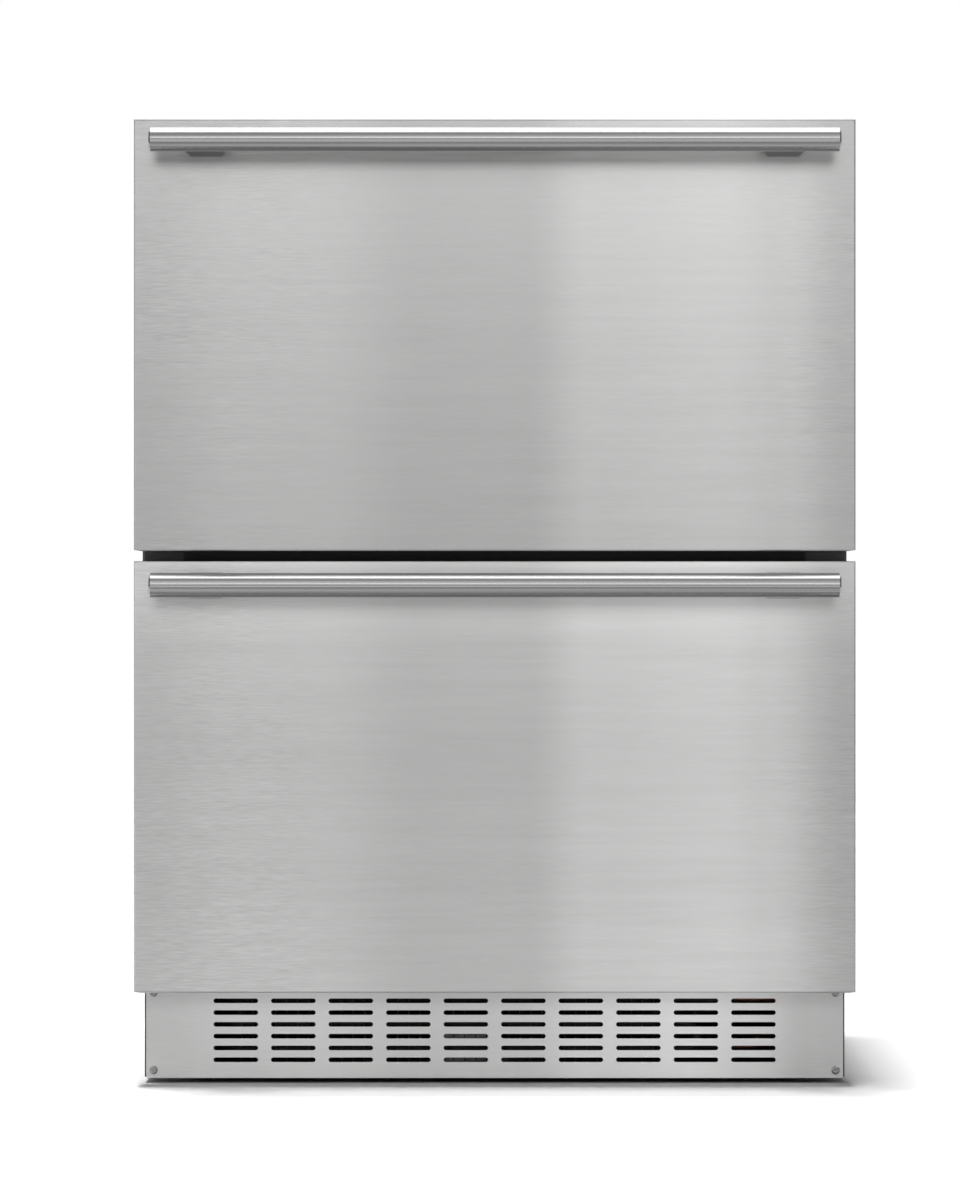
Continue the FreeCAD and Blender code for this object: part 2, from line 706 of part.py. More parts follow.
def base_pan():
    """Folded tray that carries the machine, with weld nuts for the feet and a front apron."""
    y = (FRAME_Y, REAR_Y)
    floor = wide_box(BASE_X, y, (PAN_BOTTOM, PAN_TOP))
    apron = wide_box(BASE_X, (FRAME_Y, FRAME_Y + PAN_T), (APRON_BOTTOM, BASE_H))
    mouth_x = GRILLE_X - 2 * GRILLE_SCREW_INSET_X - PANEL_SCREW_HEAD_R
    apron = apron.cut(wide_box(mouth_x, (FRAME_Y - 1, FRAME_Y + PAN_T + 1), (PAN_TOP, GRILLE_TOP - PAN_T)))
    lip = wide_box(BASE_X, (REAR_Y - PAN_T, REAR_Y), (PAN_BOTTOM, PAN_TOP + BASE_LIP_H))
    right = box((BASE_X - PAN_T, BASE_X), y, (PAN_BOTTOM, BASE_H))
    spots = [(x, foot_y) for x in (-FOOT_X, FOOT_X) for foot_y in FOOT_YS.values()]
    nuts = [hexagon((x, foot_y, PAN_TOP), WELD_NUT_AF, WELD_NUT_H) for x, foot_y in spots]
    pan = joined([floor, apron, lip, right, mirrored(right)] + nuts)
    bores = [
        rod((x, foot_y, PAN_BOTTOM - 1), (0, 0, 1), FOOT_STEM_R + FOOT_CLEARANCE, WELD_NUT_H + PAN_T + 2)
        for x, foot_y in spots
    ]
    holes = screw_holes(grille_screw_places(), (FRAME_Y - 1, FRAME_Y + PAN_T + 1))
    holes += screw_holes(base_lip_screw_places(), (REAR_Y - PAN_T - 1, REAR_Y + 1))
    return pan.cut(bores + holes)


def grille_slot(x, z):
    """One round-ended air slot, as a cutter."""
    y = FRAME_Y - GRILLE_T - 1
    depth = GRILLE_T + 2
    half = (SLOT_L - SLOT_H) / 2
    ends = [rod((x + side * half, y, z), (0, 1, 0), SLOT_H / 2, depth) for side in (-1, 1)]
    return joined([box((x - half, x + half), (y, y + depth), (z - SLOT_H / 2, z + SLOT_H / 2))] + ends)


def kick_grille():
    """Slotted stainless plate in front of the base."""
    y = (FRAME_Y - GRILLE_T, FRAME_Y)
    plate = wide_box(GRILLE_X, y, (GRILLE_BOTTOM, GRILLE_TOP))
    plate = plate.makeFillet(GRILLE_CORNER_R, edges_along(plate, (0, 1, 0)))
    slots = []
    for column in range(GRILLE_COLUMNS):
        for row in range(GRILLE_ROWS):
            x = (column - (GRILLE_COLUMNS - 1) / 2) * SLOT_PITCH_X
            z = GRILLE_BOTTOM + SLOT_RISE + (row - (GRILLE_ROWS - 1) / 2) * SLOT_PITCH_Z
            slots.append(grille_slot(x, z))
    return plate.cut(slots + screw_holes(grille_screw_places(), (y[0] - 1, y[1] + 1)))


def cabinet_screws():
    """Screws of the grille, the rear panel and the machine cover."""
    front = [panel_screw((x, FRAME_Y - GRILLE_T, z), (0, -1, 0)) for x, z in grille_screw_places()]
    rear_places = back_panel_screw_places() + machine_cover_screw_places() + base_lip_screw_places()
    rear = [panel_screw((x, REAR_Y + SHEET_T, z), (0, 1, 0)) for x, z in rear_places]
    return Part.makeCompound(front + rear)


def foot(side, end):
    """Levelling foot: pad, hexagon and screwed stem."""
    x = side * FOOT_X
    y = FOOT_YS[end]
    hex_top = PAN_BOTTOM - FOOT_CLEARANCE
    pad = rod((x, y, 0), (0, 0, 1), FOOT_PAD_R, FOOT_PAD_H)
    rim = [edge for edge in pad.Edges if edge.CenterOfMass.z > FOOT_PAD_H - 1e-6]
    pad = pad.makeFillet(FOOT_PAD_EDGE_R, rim)
    collar = hexagon((x, y, FOOT_PAD_H), FOOT_HEX_AF, hex_top - FOOT_PAD_H)
    stem = rod((x, y, hex_top), (0, 0, 1), FOOT_STEM_R, FOOT_STEM_TOP - hex_top)
    return joined([pad, collar, stem])


# Drawer slides


def channel(web_x, open_x, half_h, slide_z, y):
    """C-section rail: a web at web_x with flanges that reach to open_x."""
    low_x = min(web_x, open_x)
    high_x = max(web_x + RAIL_T, open_x)
    outer = box((low_x, high_x), y, (slide_z - half_h, slide_z + half_h))
    inside = (web_x + RAIL_T, high_x + 1) if open_x > web_x else (low_x - 1, web_x)
    inside_z = (slide_z - half_h + RAIL_T, slide_z + half_h - RAIL_T)
    return outer.cut(box(inside, (y[0] - 1, y[1] + 1), inside_z))


def outer_rails():
    """Fixed slide members on the liner's side walls."""
    rails = [channel(OUTER_WEB_X, RAIL_X, SLIDE_H / 2, drawer.slide_z, SLIDE_Y) for drawer in (UPPER, LOWER)]
    return both_sides(rails)


def middle_rails(drawer):
    """Slide members between the cabinet's and the drawer's."""
    return both_sides([channel(MIDDLE_WEB_X, RAIL_X, MIDDLE_HALF_H, drawer.slide_z, SLIDE_Y)])


def inner_rails(drawer):
    """Slide members on the drawer's brackets."""
    open_x = MIDDLE_WEB_X - RAIL_WEB_GAP
    return both_sides([channel(INNER_WEB_X, open_x, INNER_HALF_H, drawer.slide_z, SLIDE_Y)])


def ball_strip(x, y, z):
    """Cage strip with its row of balls, centred at a point."""
    length = (BALL_COUNT + 1) * BALL_PITCH
    strip = Part.makeBox(CAGE_W, length, CAGE_T, V(x - CAGE_W / 2, y - length / 2, z - CAGE_T / 2))
    first_y = y - (BALL_COUNT - 1) / 2 * BALL_PITCH
    balls = [Part.makeSphere(BALL_R, V(x, first_y + k * BALL_PITCH, z)) for k in range(BALL_COUNT)]
    return joined([strip] + balls)


def ball_strips(drawer, race):
    """Ball strips above and below the middle of a slide, half way along it."""
    x = (RAIL_X + MIDDLE_WEB_X) / 2
    y = (SLIDE_Y[0] + SLIDE_Y[1]) / 2
    height = race - RACE_GAP / 2
    return both_sides([ball_strip(x, y, drawer.slide_z + side * height) for side in (-1, 1)])


def outer_ball_strips(drawer):
    """Balls between the fixed and the middle rails."""
    return ball_strips(drawer, OUTER_RACE)


def inner_ball_strips(drawer):
    """Balls between the middle and the drawer's rails."""
    return ball_strips(drawer, MIDDLE_RACE)


# Drawers


def front_skin(drawer):
    """Folded stainless pan: face and four returns, relieved at the lower corners."""
    x = FRONT_W / 2
    z = (drawer.front_z, drawer.front_z + FRONT_H)
    back = FRONT_BACK_Y - INNER_PANEL_T
    outer = face_rounded(wide_box(x, (FACE_Y, back), z), FACE_Y, SKIN_T + SKIN_BEND_R)
    inner_z = (z[0] + SKIN_T, z[1] - SKIN_T)
    inner = wide_box(x - SKIN_T, (FACE_Y + SKIN_T, back + 1), inner_z)
    inner = face_rounded(inner, FACE_Y + SKIN_T, SKIN_BEND_R)
    skin = outer.cut(inner)
    for side in (-1, 1):
        corner = [(x, z[0]), (x - RELIEF_W, z[0]), (x, z[0] + RELIEF_H)]
        outline = [V(side * px, FACE_Y - 1, pz) for px, pz in corner + corner[:1]]
        wedge = Part.Face(Part.makePolygon(outline)).extrude(V(0, FRONT_T, 0))
        hole_r = POST_SCREW_R + SCREW_CLEARANCE
        hole = rod((side * POST_X, FACE_Y - 1, bar_z(drawer)), (0, 1, 0), hole_r, SKIN_T + 2)
        skin = skin.cut([wedge, hole])
    return skin


def bar_z(drawer):
    """Height of the handle bar's axis."""
    return drawer.front_z + FRONT_H - HANDLE_DROP


def plug_block(drawer, inset, y):
    """Raised part of the inner panel that reaches into the opening, rounded at its end."""
    gap = PLUG_GAP + inset
    block = wide_box(CAVITY_X - gap, y, (drawer.opening[0] + gap, drawer.opening[1] - gap))
    block = block.makeFillet(PLUG_CORNER_R - inset, edges_along(block, (0, 1, 0)))
    return face_rounded(block, y[1], PLUG_EDGE_R - inset)


def front_liner(drawer):
    """Moulded inner panel with its raised plug."""
    x = FRONT_W / 2 - INNER_PANEL_INSET
    z = (drawer.front_z + INNER_PANEL_INSET, drawer.front_z + FRONT_H - INNER_PANEL_INSET)
    panel = wide_box(x, (FRONT_BACK_Y - INNER_PANEL_T, FRONT_BACK_Y), z)
    solid = joined([panel, plug_block(drawer, 0, (FRONT_BACK_Y, PLUG_Y))])
    hollow_y = (FRONT_BACK_Y - INNER_PANEL_T - 1, PLUG_Y - INNER_PANEL_T)
    return solid.cut(plug_block(drawer, INNER_PANEL_T, hollow_y))


def front_foam(drawer):
    """Insulation inside the front and its plug."""
    x = FRONT_W / 2 - SKIN_T
    z = (drawer.front_z + SKIN_T, drawer.front_z + FRONT_H - SKIN_T)
    back = FRONT_BACK_Y - INNER_PANEL_T
    block = face_rounded(wide_box(x, (FACE_Y + SKIN_T, back), z), FACE_Y + SKIN_T, SKIN_BEND_R)
    foam = joined([block, plug_block(drawer, INNER_PANEL_T, (back, PLUG_Y - INNER_PANEL_T))])
    pockets = [
        rod(
            (side * POST_X, FACE_Y + SKIN_T, bar_z(drawer)),
            (0, 1, 0),
            POST_SCREW_HEAD_R + SCREW_CLEARANCE,
            POST_SCREW_HEAD_H + SCREW_CLEARANCE,
        )
        for side in (-1, 1)
    ]
    return foam.cut(pockets)


def gasket(drawer):
    """Magnetic seal: a flat foot on the inner panel and a narrower lip."""
    x = FRONT_W / 2 - SEAL_SIDE_INSET
    step = (SEAL_W - SEAL_LIP_W) / 2
    seam = FRONT_BACK_Y + SEAL_FOOT_T
    foot_ring = ring(x, drawer.seal, SEAL_W, (FRONT_BACK_Y, seam))
    lip_z = (drawer.seal[0] + step, drawer.seal[1] - step)
    lip_ring = ring(x - step, lip_z, SEAL_LIP_W, (seam, FRAME_Y - SEAL_CLEARANCE))
    return joined([foot_ring, lip_ring])


def handle_bar(drawer):
    """Round bar with chamfered ends."""
    bar = rod((-BAR_HALF_L, BAR_Y, bar_z(drawer)), (1, 0, 0), HANDLE_R, 2 * BAR_HALF_L)
    rims = [edge for edge in bar.Edges if abs(abs(edge.CenterOfMass.x) - BAR_HALF_L) < 1e-6]
    return bar.makeChamfer(HANDLE_CHAMFER, rims)


def handle_post(drawer):
    """Stand-off that widens from the front to the bar and is coped round it."""
    z = bar_z(drawer)
    sections = []
    for y, width, height in ((FACE_Y, POST_PANEL_W, POST_PANEL_H), (BAR_Y, POST_BAR_W, POST_BAR_H)):
        signs = ((-1, -1), (1, -1), (1, 1), (-1, 1))
        corners = [V(POST_X + sx * width / 2, y, z + sz * height / 2) for sx, sz in signs]
        sections.append(Part.makePolygon(corners + corners[:1]))
    post = Part.makeLoft(sections, True, True)
    long_edges = [edge for edge in post.Edges if abs(edge.Vertexes[0].Y - edge.Vertexes[-1].Y) > 1]
    post = post.makeFillet(POST_EDGE_R, long_edges)
    post = post.cut(rod((-BAR_HALF_L, BAR_Y, z), (1, 0, 0), HANDLE_R + POST_FIT, 2 * BAR_HALF_L))
    bore_l = POST_SCREW_L + SCREW_CLEARANCE
    return post.cut(rod((POST_X, FACE_Y, z), (0, -1, 0), POST_SCREW_R + SCREW_CLEARANCE, bore_l))


def handle_posts(drawer):
    """Both stand-offs of a handle."""
    return both_sides([handle_post(drawer)])


def handle_screws(drawer):
    """Screws that hold the posts from inside the front."""
    seat = (POST_X, FACE_Y + SKIN_T, bar_z(drawer))
    length = POST_SCREW_L + SKIN_T
    return both_sides([screw(seat, (0, 1, 0), POST_SCREW_HEAD_R, POST_SCREW_HEAD_H, POST_SCREW_R, length)])


def side_brackets(drawer):
    """Bent brackets between the front, the slides and the bin's shoulder."""
    y = (PLUG_Y, SLIDE_Y[1])
    shelf_top = drawer.slide_z + SHELF_RISE
    z = (drawer.slide_z - BRACKET_DROP, shelf_top)
    web = box((BRACKET_X, INNER_WEB_X), y, z)
    shelf = box((BRACKET_X, BIN_TOP_X), y, (shelf_top - BRACKET_T, shelf_top))
    tab = box((INNER_WEB_X - BRACKET_FOOT_W, INNER_WEB_X), (PLUG_Y, PLUG_Y + BRACKET_T), z)
    return both_sides([joined([web, shelf, tab])])


def bin_blocks(drawer, inset):
    """Stacked blocks of a bin's outside, or of its inside when inset by the wall."""
    floor, top = drawer.bin_z
    shoulder = drawer.slide_z + SHELF_RISE
    radius = BIN_CORNER_R - inset
    front = BIN_FRONT_Y + inset
    rear = BIN_REAR_Y - inset
    low_x = BIN_LOW_X - inset
    top_x = BIN_TOP_X - inset
    end = top + (1 if inset else 0)
    blocks = [rounded_box((-top_x, top_x), (front, rear), (shoulder + inset, end), radius)]
    if drawer.over_hump:
        ledge = HUMP_Z + BIN_FLOOR_GAP
        well_rear = HUMP_Y - BIN_HUMP_GAP - inset
        well_z = (floor + inset, ledge + inset)
        blocks.append(rounded_box((-low_x, low_x), (front, rear), (ledge + inset, shoulder + inset), radius))
        blocks.append(rounded_box((-low_x, low_x), (front, well_rear), well_z, radius))
    else:
        blocks.append(rounded_box((-low_x, low_x), (front, rear), (floor + inset, shoulder + inset), radius))
    return blocks


def drawer_bin(drawer):
    """Moulded bin with a shoulder that rests on the side brackets and a rolled rim."""
    top = drawer.bin_z[1]
    rim = rounded_box(
        (-BIN_TOP_X - BIN_RIM, BIN_TOP_X + BIN_RIM),
        (BIN_FRONT_Y - BIN_RIM, BIN_REAR_Y + BIN_RIM),
        (top - BIN_RIM_H, top),
        BIN_CORNER_R + BIN_RIM,
    )
    return joined(bin_blocks(drawer, 0) + [rim]).cut(joined(bin_blocks(drawer, BIN_WALL)))


# Refrigeration


def finned_coil(half_w, rows, levels, tube_r, fin_y, fin_z, fin_count):
    """Serpentine tube, alternating between two rows at each level, with loose-fitted fins."""
    bend = (rows[1] - rows[0]) / 2
    right = half_w + bend
    points = []
    order = rows
    for level in levels:
        points += [(right, order[0], level), (-right, order[0], level)]
        points += [(-right, order[1], level), (right, order[1], level)]
        order = (order[1], order[0])
    points[0] = (right + bend, rows[0], levels[0])
    points[-1] = (right + bend, points[-1][1], levels[-1])
    tube = bent_tube(points, bend, tube_r)
    fin = box((-FIN_T / 2, FIN_T / 2), fin_y, fin_z)
    holes = [
        rod((-FIN_T, y, z), (1, 0, 0), tube_r + FIN_CLEARANCE, 2 * FIN_T) for y in rows for z in levels
    ]
    fin = fin.cut(holes)
    pitch = 2 * half_w / (fin_count - 1)
    fins = [fin.translated(V(k * pitch - half_w, 0, 0)) for k in range(fin_count)]
    return Part.makeCompound([tube] + fins)


def coil_rows(y):
    """The two tube rows of a coil that spans y."""
    quarter = (y[1] - y[0]) / 4
    return (y[0] + quarter, y[1] - quarter)


def coil_levels(z):
    """Tube levels of a coil that spans z, from the top."""
    step = (z[1] - z[0]) / COIL_LEVELS
    return [z[1] - step * (k + 0.5) for k in range(COIL_LEVELS)]


def coil_end_x(half_w, rows):
    """Where a coil's tube ends on the right."""
    return half_w + (rows[1] - rows[0])


def condenser_y():
    """Front and rear of the condenser."""
    front = FRAME_Y + CONDENSER_SETBACK
    return (front, front + CONDENSER_D)


def condenser_z():
    """Foot and top of the condenser."""
    return (PAN_TOP + FIN_CLEARANCE, BASE_H - CONDENSER_TOP_GAP)


def condenser():
    """Finned condenser behind the kick grille."""
    y, z = condenser_y(), condenser_z()
    coil = finned_coil(CONDENSER_W / 2, coil_rows(y), coil_levels(z), TUBE_R, y, z, CONDENSER_FINS)
    return coil.translated(V(condenser_x(), 0, 0))


def condenser_x():
    """Middle of the condenser, set to the left to leave room for the lines."""
    return CONDENSER_FAN_X + CONDENSER_OFFSET_X


def evaporator_y():
    """Front and rear of the evaporator."""
    front = COVER_Y + COVER_T + EVAPORATOR_SETBACK
    return (front, front + EVAPORATOR_D)


def evaporator_z():
    """Foot and top of the evaporator, which stands on the drain trough."""
    foot = HUMP_Z + TROUGH_H + FIN_CLEARANCE
    return (foot, foot + EVAPORATOR_H)


def evaporator():
    """Finned evaporator behind the cover at the back of the freezer space."""
    y, z = evaporator_y(), evaporator_z()
    return finned_coil(EVAPORATOR_W / 2, coil_rows(y), coil_levels(z), TUBE_R, y, z, EVAPORATOR_FINS)


def trough_y():
    """Front and rear of the drain trough."""
    y = evaporator_y()
    return (y[0] - TROUGH_MARGIN, y[1] + TROUGH_MARGIN)


def trough_middle_y():
    """Where the drain spout goes down."""
    return sum(trough_y()) / 2


def drain_trough():
    """Trough under the evaporator with a spout down to the drip pan."""
    y = trough_y()
    half = TROUGH_W / 2
    spout_low = MACHINE_TOP - SPOUT_DROP
    body = wide_box(half, y, (HUMP_Z, HUMP_Z + TROUGH_H))
    spout = rod((SPOUT_X, trough_middle_y(), spout_low), (0, 0, 1), SPOUT_R, HUMP_Z + TROUGH_T - spout_low)
    inside_z = (HUMP_Z + TROUGH_T, HUMP_Z + TROUGH_H + 1)
    inside = wide_box(half - TROUGH_T, (y[0] + TROUGH_T, y[1] - TROUGH_T), inside_z)
    bore_l = HUMP_Z + TROUGH_H - spout_low
    bore = rod((SPOUT_X, trough_middle_y(), spout_low - 1), (0, 0, 1), SPOUT_R - TROUGH_T, bore_l)
    return joined([body, spout]).cut([inside, bore])


def drip_pan():
    """Tray on the compressor where defrost water dries off."""
    low = COMPRESSOR_TOP
    x = (COMPRESSOR_X - DRIP_PAN_W / 2, COMPRESSOR_X + DRIP_PAN_W / 2)
    y = (COMPRESSOR_Y - DRIP_PAN_D / 2, COMPRESSOR_Y + DRIP_PAN_D / 2)
    outside = rounded_box(x, y, (low, low + DRIP_PAN_H), BIN_CORNER_R)
    inside = rounded_box(
        (x[0] + TROUGH_T, x[1] - TROUGH_T),
        (y[0] + TROUGH_T, y[1] - TROUGH_T),
        (low + TROUGH_T, low + DRIP_PAN_H + 1),
        BIN_CORNER_R - TROUGH_T,
    )
    return outside.cut(inside)


def compressor_block(grow, z):
    """Rounded outline of the compressor shell, grown by a seam."""
    x = (COMPRESSOR_X - COMPRESSOR_W / 2 - grow, COMPRESSOR_X + COMPRESSOR_W / 2 + grow)
    y = (COMPRESSOR_Y - COMPRESSOR_D / 2 - grow, COMPRESSOR_Y + COMPRESSOR_D / 2 + grow)
    return rounded_box(x, y, z, COMPRESSOR_CORNER_R + grow)


def plate_corners():
    """Middles of the compressor's four rubber mounts."""
    dx = COMPRESSOR_PLATE_W / 2 - GROMMET_INSET
    dy = COMPRESSOR_PLATE_D / 2 - GROMMET_INSET
    return [(COMPRESSOR_X + sx * dx, COMPRESSOR_Y + sy * dy) for sx in (-1, 1) for sy in (-1, 1)]


def discharge_y():
    """Where the discharge stub leaves the compressor."""
    return COMPRESSOR_Y - DISCHARGE_OFFSET_Y


def compressor():
    """Sealed compressor: shell with weld seam, foot plate, terminal box and two stubs."""
    foot_z = COMPRESSOR_PLATE_Z + COMPRESSOR_PLATE_T
    shell = compressor_block(0, (foot_z, COMPRESSOR_TOP))
    domes = [edge for edge in shell.Edges if all(abs(v.Z - COMPRESSOR_TOP) < 1e-6 for v in edge.Vertexes)]
    shell = shell.makeFillet(COMPRESSOR_DOME_R, domes)
    middle = (foot_z + COMPRESSOR_TOP) / 2
    seam_z = (middle - COMPRESSOR_SEAM_T / 2, middle + COMPRESSOR_SEAM_T / 2)
    seam = compressor_block(COMPRESSOR_SEAM_W, seam_z)
    plate = box(
        (COMPRESSOR_X - COMPRESSOR_PLATE_W / 2, COMPRESSOR_X + COMPRESSOR_PLATE_W / 2),
        (COMPRESSOR_Y - COMPRESSOR_PLATE_D / 2, COMPRESSOR_Y + COMPRESSOR_PLATE_D / 2),
        (COMPRESSOR_PLATE_Z, foot_z),
    )
    holes = [
        rod((x, y, COMPRESSOR_PLATE_Z - 1), (0, 0, 1), GROMMET_NECK_R + FIN_CLEARANCE, COMPRESSOR_PLATE_T + 2)
        for x, y in plate_corners()
    ]
    left = COMPRESSOR_X - COMPRESSOR_W / 2
    terminals_x = left - TERMINAL_BOX_REACH
    terminals_z = middle + TERMINAL_BOX_RISE
    terminals = box(
        (terminals_x, terminals_x + TERMINAL_BOX_W),
        (COMPRESSOR_Y - TERMINAL_BOX_D / 2, COMPRESSOR_Y + TERMINAL_BOX_D / 2),
        (terminals_z, terminals_z + TERMINAL_BOX_H),
    )
    level = coil_levels(condenser_z())[0]
    stub_start = COMPRESSOR_X + COMPRESSOR_W / 4
    stub_l = stub_x() - stub_start
    suction_y = coil_rows(evaporator_y())[1]
    discharge = rod((stub_start, discharge_y(), level), (1, 0, 0), TUBE_R, stub_l)
    suction = rod((stub_start, suction_y, suction_z()), (1, 0, 0), TUBE_R + SUCTION_STUB_T, stub_l)
    return joined([shell, seam, plate.cut(holes), terminals, discharge, suction])


def stub_x():
    """Where the compressor's stubs end."""
    return COMPRESSOR_X + COMPRESSOR_W / 2 + COMPRESSOR_STUB_L


def suction_z():
    """Height of the compressor's suction stub."""
    return (COMPRESSOR_PLATE_Z + COMPRESSOR_TOP) / 2 + SUCTION_RISE


def compressor_grommets():
    """Rubber spools between the base pan and the compressor's foot plate."""
    spools = []
    plate_top = COMPRESSOR_PLATE_Z + COMPRESSOR_PLATE_T
    for x, y in plate_corners():
        body = rod((x, y, PAN_TOP), (0, 0, 1), GROMMET_R, COMPRESSOR_PLATE_Z - PAN_TOP)
        neck = rod((x, y, COMPRESSOR_PLATE_Z), (0, 0, 1), GROMMET_NECK_R, COMPRESSOR_PLATE_T)
        cap = rod((x, y, plate_top), (0, 0, 1), GROMMET_NECK_R + GROMMET_CAP_LIP, GROMMET_CAP_H)
        spools.append(joined([body, neck, cap]))
    return Part.makeCompound(spools)


def discharge_line():
    """Hot gas line from the compressor to the condenser."""
    rows = coil_rows(condenser_y())
    level = coil_levels(condenser_z())[0]
    end_x = condenser_x() + coil_end_x(CONDENSER_W / 2, rows)
    points = [
        (stub_x(), discharge_y(), level),
        (DISCHARGE_X, discharge_y(), level),
        (DISCHARGE_X, rows[0], level),
        (end_x, rows[0], level),
    ]
    return bent_tube(points, LINE_BEND_R, LINE_R)


def liquid_line():
    """Line from the condenser to the drier, then the capillary up to the evaporator."""
    rows = coil_rows(condenser_y())
    level = coil_levels(condenser_z())[-1]
    start_x = condenser_x() + coil_end_x(CONDENSER_W / 2, rows)
    drier_y = MACHINE_Y - DRIER_L
    cold_rows = coil_rows(evaporator_y())
    cold_x = coil_end_x(EVAPORATOR_W / 2, cold_rows)
    cold_z = coil_levels(evaporator_z())[0]
    line_points = [(start_x, rows[1], level), (LIQUID_X, rows[1], level), (LIQUID_X, drier_y, level)]
    line = bent_tube(line_points, LINE_BEND_R, LINE_R)
    drier = rod((LIQUID_X, drier_y, level), (0, 1, 0), DRIER_R, DRIER_L)
    ends = [edge for edge in drier.Edges if edge.Closed]
    drier = drier.makeFillet(DRIER_R * 0.6, ends)
    capillary = bent_tube(
        [
            (LIQUID_X, drier_y + DRIER_L - 1, level),
            (LIQUID_X, cold_rows[0], level),
            (LIQUID_X, cold_rows[0], cold_z),
            (cold_x, cold_rows[0], cold_z),
        ],
        LINE_BEND_R,
        CAPILLARY_R,
    )
    return joined([line, drier, capillary])


def suction_line():
    """Cold gas line from the evaporator down to the compressor."""
    y = coil_rows(evaporator_y())[1]
    cold_x = coil_end_x(EVAPORATOR_W / 2, coil_rows(evaporator_y()))
    cold_z = coil_levels(evaporator_z())[-1]
    points = [
        (cold_x, y, cold_z),
        (SUCTION_X, y, cold_z),
        (SUCTION_X, y, suction_z()),
        (stub_x(), y, suction_z()),
    ]
    return bent_tube(points, LINE_BEND_R, TUBE_R)


# Fans


def fan(x, z, y, tip_r, hub_r):
    """Fan wheel: hub, pitched blades and the shaft that runs in the motor."""
    hub = rod((0, 0, 0), (0, 1, 0), hub_r, FAN_HUB_L)
    chord = FAN_HUB_L / math.sin(math.radians(FAN_BLADE_PITCH))
    blades = []
    for k in range(FAN_BLADES):
        blade = box((hub_r * 0.7, tip_r), (-FAN_BLADE_T / 2, FAN_BLADE_T / 2), (-chord / 2, chord / 2))
        blade.rotate(V(0, 0, 0), V(1, 0, 0), -FAN_BLADE_PITCH)
        blade.translate(V(0, FAN_HUB_L / 2, 0))
        blade.rotate(V(0, 0, 0), V(0, 1, 0), k * 360.0 / FAN_BLADES)
        blades.append(blade.common(rod((0, 0, 0), (0, 1, 0), tip_r, FAN_HUB_L)))
    shaft_l = FAN_BAR_GAP + FAN_BAR_T + FAN_SHAFT_SEAT
    shaft = rod((0, FAN_HUB_L, 0), (0, 1, 0), FAN_SHAFT_R, shaft_l)
    return joined([hub, shaft] + blades).translated(V(x, y, z))


def motor_bracket(x, z, carrier_y, tip_r):
    """Two posts and a cross bar behind a fan, with the shaft's hole."""
    bar_y = carrier_y + FAN_SETBACK + FAN_HUB_L + FAN_BAR_GAP
    reach = tip_r + FAN_TIP_GAP + FAN_POST_W
    half_h = FAN_BAR_H / 2
    bar = box((x - reach, x + reach), (bar_y, bar_y + FAN_BAR_T), (z - half_h, z + half_h))
    posts = [
        box((post_x, post_x + FAN_POST_W), (carrier_y, bar_y), (z - half_h, z + half_h))
        for post_x in (x - reach, x + reach - FAN_POST_W)
    ]
    return joined([bar] + posts).cut(shaft_bore(x, z, bar_y - 1, FAN_BAR_T + 2))


def shaft_bore(x, z, y, length):
    """Running clearance round a fan's shaft, as a cutter."""
    return rod((x, y, z), (0, 1, 0), FAN_SHAFT_R + FAN_SHAFT_CLEARANCE, length)


def motor(x, z, carrier_y):
    """Fan motor behind the cross bar, with a blind bore for the shaft."""
    y = carrier_y + FAN_SETBACK + FAN_HUB_L + FAN_BAR_GAP + FAN_BAR_T
    can = rod((x, y, z), (0, 1, 0), MOTOR_R, MOTOR_L)
    rear = [edge for edge in can.Edges if edge.Closed and abs(edge.CenterOfMass.y - y - MOTOR_L) < 1e-6]
    can = can.makeFillet(MOTOR_EDGE_R, rear)
    return can.cut(shaft_bore(x, z, y - 1, FAN_SHAFT_SEAT + 2))


def shroud_y():
    """Rear face of the condenser fan's shroud."""
    return MACHINE_Y + SHEET_T + SHROUD_SETBACK


def condenser_fan():
    """Fan in the machine space."""
    return fan(CONDENSER_FAN_X, CONDENSER_FAN_Z, shroud_y() + FAN_SETBACK, CONDENSER_FAN_R, CONDENSER_HUB_R)


def condenser_fan_shroud():
    """Plate with the fan's opening, standing on the base pan, and the motor's bracket."""
    reach = CONDENSER_FAN_R + FAN_TIP_GAP + FAN_POST_W + SHROUD_MARGIN
    y = (shroud_y() - SHROUD_T, shroud_y())
    plate = box((CONDENSER_FAN_X - reach, CONDENSER_FAN_X + reach), y, (PAN_TOP, CONDENSER_FAN_Z + reach))
    opening_r = CONDENSER_FAN_R + FAN_TIP_GAP
    plate = plate.cut(rod((CONDENSER_FAN_X, y[0] - 1, CONDENSER_FAN_Z), (0, 1, 0), opening_r, SHROUD_T + 2))
    return joined([plate, motor_bracket(CONDENSER_FAN_X, CONDENSER_FAN_Z, shroud_y(), CONDENSER_FAN_R)])


def condenser_fan_motor():
    """Motor of the condenser fan."""
    return motor(CONDENSER_FAN_X, CONDENSER_FAN_Z, shroud_y())


def evaporator_fan():
    """Fan behind the evaporator cover."""
    return fan(0, EVAPORATOR_FAN_Z, COVER_Y + COVER_T + FAN_SETBACK, EVAPORATOR_FAN_R, EVAPORATOR_HUB_R)


def evaporator_fan_motor():
    """Motor of the evaporator fan with its bracket on the cover."""
    carrier = COVER_Y + COVER_T
    bracket = motor_bracket(0, EVAPORATOR_FAN_Z, carrier, EVAPORATOR_FAN_R)
    return joined([bracket, motor(0, EVAPORATOR_FAN_Z, carrier)])


